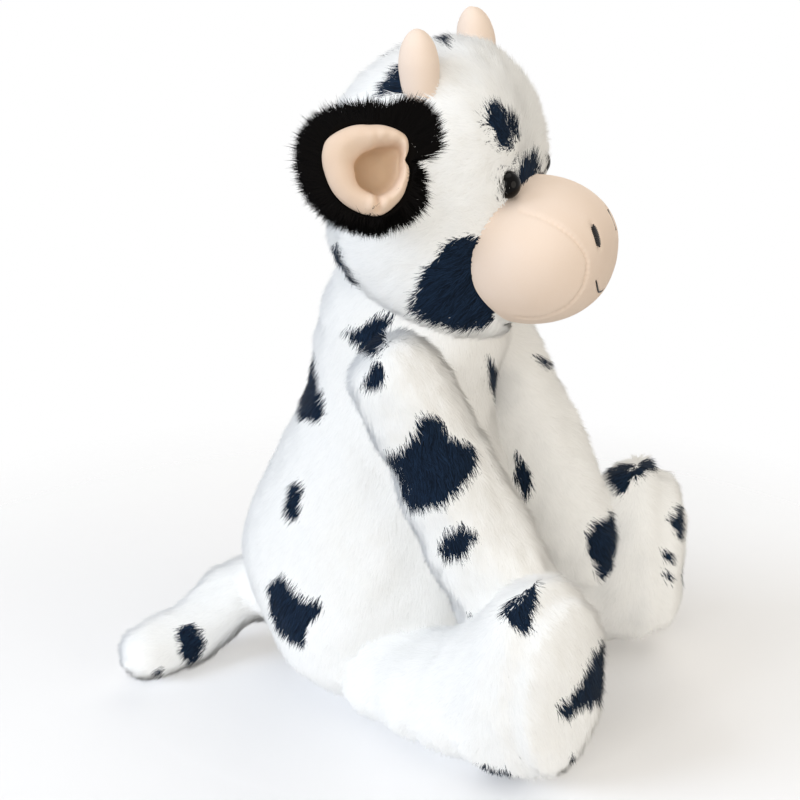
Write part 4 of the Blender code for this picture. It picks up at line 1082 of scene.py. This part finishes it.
def ear_lining(side, word, place):
    """The lining: a rolled rim, and a cup pulled towards the tip of the ear."""
    root, plane, face = place
    band, lip = LINING_EDGE - LIP_EDGE, LIP_EDGE
    # Distance from the middle, height, and how strongly the folds show there
    profile = ((lip + band * 1.06, 0.6, 0), (lip + band * 1.03, 2.8, 0), (lip + band * 0.93, 4.9, 0.3),
               (lip + band * 0.74, 6.4, 1), (lip + band * 0.50, 7.0, 1), (lip + band * 0.26, 6.5, 1),
               (lip + band * 0.08, 5.2, 1), (lip - 0.3, 3.4, 0.8), (lip * 0.95 - 0.4, 0.9, 0.5),
               (lip * 0.88, -2.0, 0.3), (lip * 0.77, -4.4, 0.2), (lip * 0.62, -6.2, 0), (lip * 0.42, -7.4, 0),
               (lip * 0.2, -8.0, 0), (lip * 0.02, -8.2, 0))
    pull = np.array((3.0, 0.5)) @ plane
    rings = []
    for far, height, crease in profile:
        ring = ear_points(place, far, height - ROOT_DROP * (height > 0) + (PLEAT + RIPPLE) * crease)
        rings.append(ring + pull * np.clip(-height / 10, 0, 1))
    grid = ear_form(rings, 90)
    grid += face * (0.3 * waves(grid, 9, 41 + side))[..., None]
    name = word + "_ear_lining_velboa"
    mesh = grid_mesh(name, grid, (False, True))
    # Painted shade: the deeper the lining lies in the cup, the more of the shade colour it takes
    hollow_shade = np.clip(-((grid - root) @ face).ravel() / 9 + 0.35, 0, 1)
    tag(mesh, np.stack([hollow_shade, hollow_shade * 0, hollow_shade * 0], -1))
    thing = add(name, mesh, word + "_ear", LINING, (word + "_ear_lining",))


def ear_back(word, place):
    """The cloth of the ear's rim and back, which the black pile grows from."""
    edge = np.maximum(EAR_EDGE - 8.2, LINING_EDGE + 1.2)
    low = ROOT_DROP * 0.5
    profile = ((LINING_EDGE * 0.93, 1.2 - low), (LINING_EDGE + 0.8, 2.2 - low), (edge, 2.6 - low),
               (edge + 1.0, 0.2), (edge, -3.2), (edge * 0.84, -8.0), (edge * 0.55, -11.8),
               (edge * 0.25, -13.2), (edge * 0.02, -13.6))
    grid = ear_form([ear_points(place, far, height) for far, height in profile], 60)
    mesh = grid_mesh(word + "_ear_cloth", grid, (False, True))
    tag(mesh, np.ones((len(mesh.vertices), 3)))
    thing = add(word + "_ear_cloth", mesh, word + "_ear", BLACK_PILE, (word + "_ear_back",))
    return grid


def ear_pile(word, place, back):
    """Black pile that stands out round the ear and over its back, but clear of the lining."""
    root, plane, face = place
    spots, out = scattered(back, EAR_TUFTS_PER_MM2, 51, 0.0)
    flat = (spots - root) @ plane.T - EAR_MIDDLE
    height = (spots - root) @ face
    turn, far = np.arctan2(flat[:, 1], flat[:, 0]), np.linalg.norm(flat, axis=1)
    room = np.interp(turn, EAR_TURNS, EAR_EDGE, period=2 * pi) - far
    rim = np.max([np.roll(LINING_EDGE, k) for k in range(-6, 7)], axis=0)
    keep = (far > np.interp(turn, EAR_TURNS, rim, period=2 * pi) + 0.5) | (height < -5)
    spots, out, flat, room, height = (v[keep] for v in (spots, out, flat, room, height))
    # Round the rim a tuft reaches to the outline, and behind it they all have one length
    at_rim = height > -4
    ray = unit(flat @ plane)
    length = np.where(at_rim, np.clip(room * 1.12, 3.0, 11.0), 8.0)
    lift = np.where(at_rim, 1.0, 0.3)[:, None]
    tufts(word + "_ear_pile", word + "_ear", spots, unit(out + ray * 0.35 * lift), ray + face * 0.1 * lift,
          np.ones(len(spots)), length, EAR_TUFT_WIDTH, BLACK_PILE, 0.85, 0.2, 0.45)


def ear(side, word):
    """One ear: lining, back and pile. Gives its form, grown a little, to keep other pile off it."""
    place = ear_frame(side)
    ear_lining(side, word, place)
    back = ear_back(word, place)
    ear_pile(word, place, back)
    return shell_of(back, -1.0)


ear_shells = [ear(side, word) for side, word in SIDES]
muzzle_cover = shell_of(MUZZLE_CLOTH[::3, ::3], -0.6)
pile("head_pile", "head", HEAD_FORM, head_comb, (torso_shell, muzzle_cover, *ear_shells), 0.9,
     clear_of_eyes, longer_behind_eyes)


# Arms, legs and tail
def arm(side, word):
    """An arm with its pile combed down and a little outward."""
    grid, body = ARMS[side], word + "_arm"
    skin(word + "_arm_cloth", grid, body, word + "_arm_skin")
    stuffing(word + "_arm_fibre", grid, body, word + "_arm_stuffing", 9)

    def comb(p):
        return np.array((side * 0.4, -0.45, -0.9)) + p * 0
    pile(word + "_arm_pile", body, grid, comb, (torso_shell, leg_shells[side]), 0.8)


def leg(side, word):
    """A leg and the panel of its sole, with the stuffing and the bag of pellets in the foot."""
    grid, body = LEGS[side], word + "_leg"
    start, heading = leg_line(side)
    cut = int(np.argmax(((grid - start) @ heading).mean(1) > SOLE_START))
    skin(word + "_leg_cloth", grid[:cut + 1], body, word + "_leg_skin", (True, False))
    skin(word + "_sole_cloth", grid[cut:], body, word + "_sole", (False, True))
    stuffing(word + "_leg_fibre", grid, body, word + "_leg_stuffing", 9)
    bag(word + "_foot_bag", word + "_foot_pellet_bag", body)

    def comb(p):
        """Down everywhere, and back over the leg or forward over the toes."""
        over = np.clip(((p - start) @ heading - 56) / 24, 0, 1)[:, None]
        return np.array((0, 0, -0.8)) + heading * (1.1 * over - 0.5)
    pile(word + "_leg_pile", body, grid, comb, (torso_shell,), 0.5)


def tail_comb(p):
    """Out along the tail and a little down."""
    return np.array((-0.9, 0.45, -0.15)) + p * 0


for side, word in SIDES:
    arm(side, word)
    leg(side, word)
skin("tail_cloth", TAIL, "tail", "tail_skin")
stuffing("tail_fibre", TAIL, "tail", "tail_stuffing", 8)
pile("tail_pile", "tail", TAIL, tail_comb, (torso_shell,), 0.4)

# Floor: a pale sheet of paper that fades out to white before its edge
bpy.ops.mesh.primitive_circle_add(vertices=96, radius=0.6, fill_type="NGON")
floor = bpy.context.object
floor.name = floor.data.name = "floor"
look, tree = blank("matt_paper_white")
place = node(tree, "TexCoord").outputs["Object"]
near = node(tree, "TexGradient", {"Vector": place}, gradient_type="SPHERICAL").outputs["Fac"]
fade = node(tree, "MapRange", {0: near, 1: 0.66, 2: 0.88}).outputs[0]
cloud = node(tree, "TexNoise", {"Vector": place, "Scale": 1 / (900 * MM)}).outputs["Fac"]
tint = node(tree, "Mix", {0: cloud, 6: srgb("#F7F7F8"), 7: srgb("#FAFAFB")}, data_type="RGBA").outputs[2]
shader = node(tree, "BsdfPrincipled", {"Base Color": tint, "Roughness": 0.9, "Specular IOR Level": 0.1,
                                       "Alpha": fade})
node(tree, "OutputMaterial", {"Surface": shader.outputs[0]})
floor.data.materials.append(look)


# Lights: a cool window behind, and broad warm boxes all round it. The boxes light the pile more
# evenly than the world does, because fibres turned from their shading lose the world's light
def area_light(name, place, size, power, colour):
    """A round lamp aimed at the toy."""
    lamp = bpy.data.lights.new(name, "AREA")
    lamp.shape = "DISK"
    lamp.size = size
    lamp.energy = power
    lamp.color = srgb(colour)[:3]
    thing = bpy.data.objects.new(name, lamp)
    thing.location = place
    aim = Vector((0, 0, 0.13)) - thing.location
    thing.rotation_euler = aim.to_track_quat("-Z", "Y").to_euler()
    bpy.context.scene.collection.objects.link(thing)


area_light("window", (-1.0, 1.15, 1.05), 1.0, 17, "#E2EEFF")
area_light("left_box", (-1.5, -0.1, 0.7), 1.3, 12.5, "#FFFEFB")
area_light("front_box", (-0.2, -1.6, 0.35), 1.2, 9.5, "#FFF6E8")
area_light("top_box", (0.1, -0.2, 1.75), 1.4, 7.5, "#FFFCF6")
area_light("far_box", (1.5, 0.2, 0.7), 1.3, 10, "#FFF8EE")

# The world lights the toy dimly, but the camera and clear or glossy surfaces see it white
world = bpy.data.worlds.new("studio")
bpy.context.scene.world = world
world.use_nodes = True
tree = world.node_tree
tree.nodes.clear()
ray = node(tree, "LightPath").outputs
sharp = node(tree, "Math", {0: ray["Is Glossy Ray"], 1: ray["Is Transmission Ray"]}, operation="MAXIMUM")
seen = node(tree, "Math", {0: ray["Is Camera Ray"], 1: sharp.outputs[0]}, operation="MAXIMUM")
dim = node(tree, "Background", {"Color": srgb("#FFFAF1"), "Strength": 0.2})
white = node(tree, "Background", {"Color": srgb("#FFFFFF"), "Strength": 1.0})
sky = node(tree, "MixShader", {0: seen.outputs[0], 1: dim.outputs[0], 2: white.outputs[0]})
node(tree, "OutputWorld", {"Surface": sky.outputs[0]})

# Camera
SENSOR_MM = 36
camera_data = bpy.data.cameras.new("camera")
camera_data.sensor_width = SENSOR_MM
camera_data.lens = FOCAL_PX / FRAME_PX * SENSOR_MM
camera_data.clip_start = 0.01
camera = bpy.data.objects.new("camera", camera_data)
camera.location = Vector((TARGET + TO_CAMERA * DISTANCE) * MM)
camera.rotation_euler = Vector(-TO_CAMERA).to_track_quat("-Z", "Y").to_euler()
bpy.context.scene.collection.objects.link(camera)
bpy.context.scene.camera = camera
bpy.context.scene.view_settings.view_transform = "Standard"
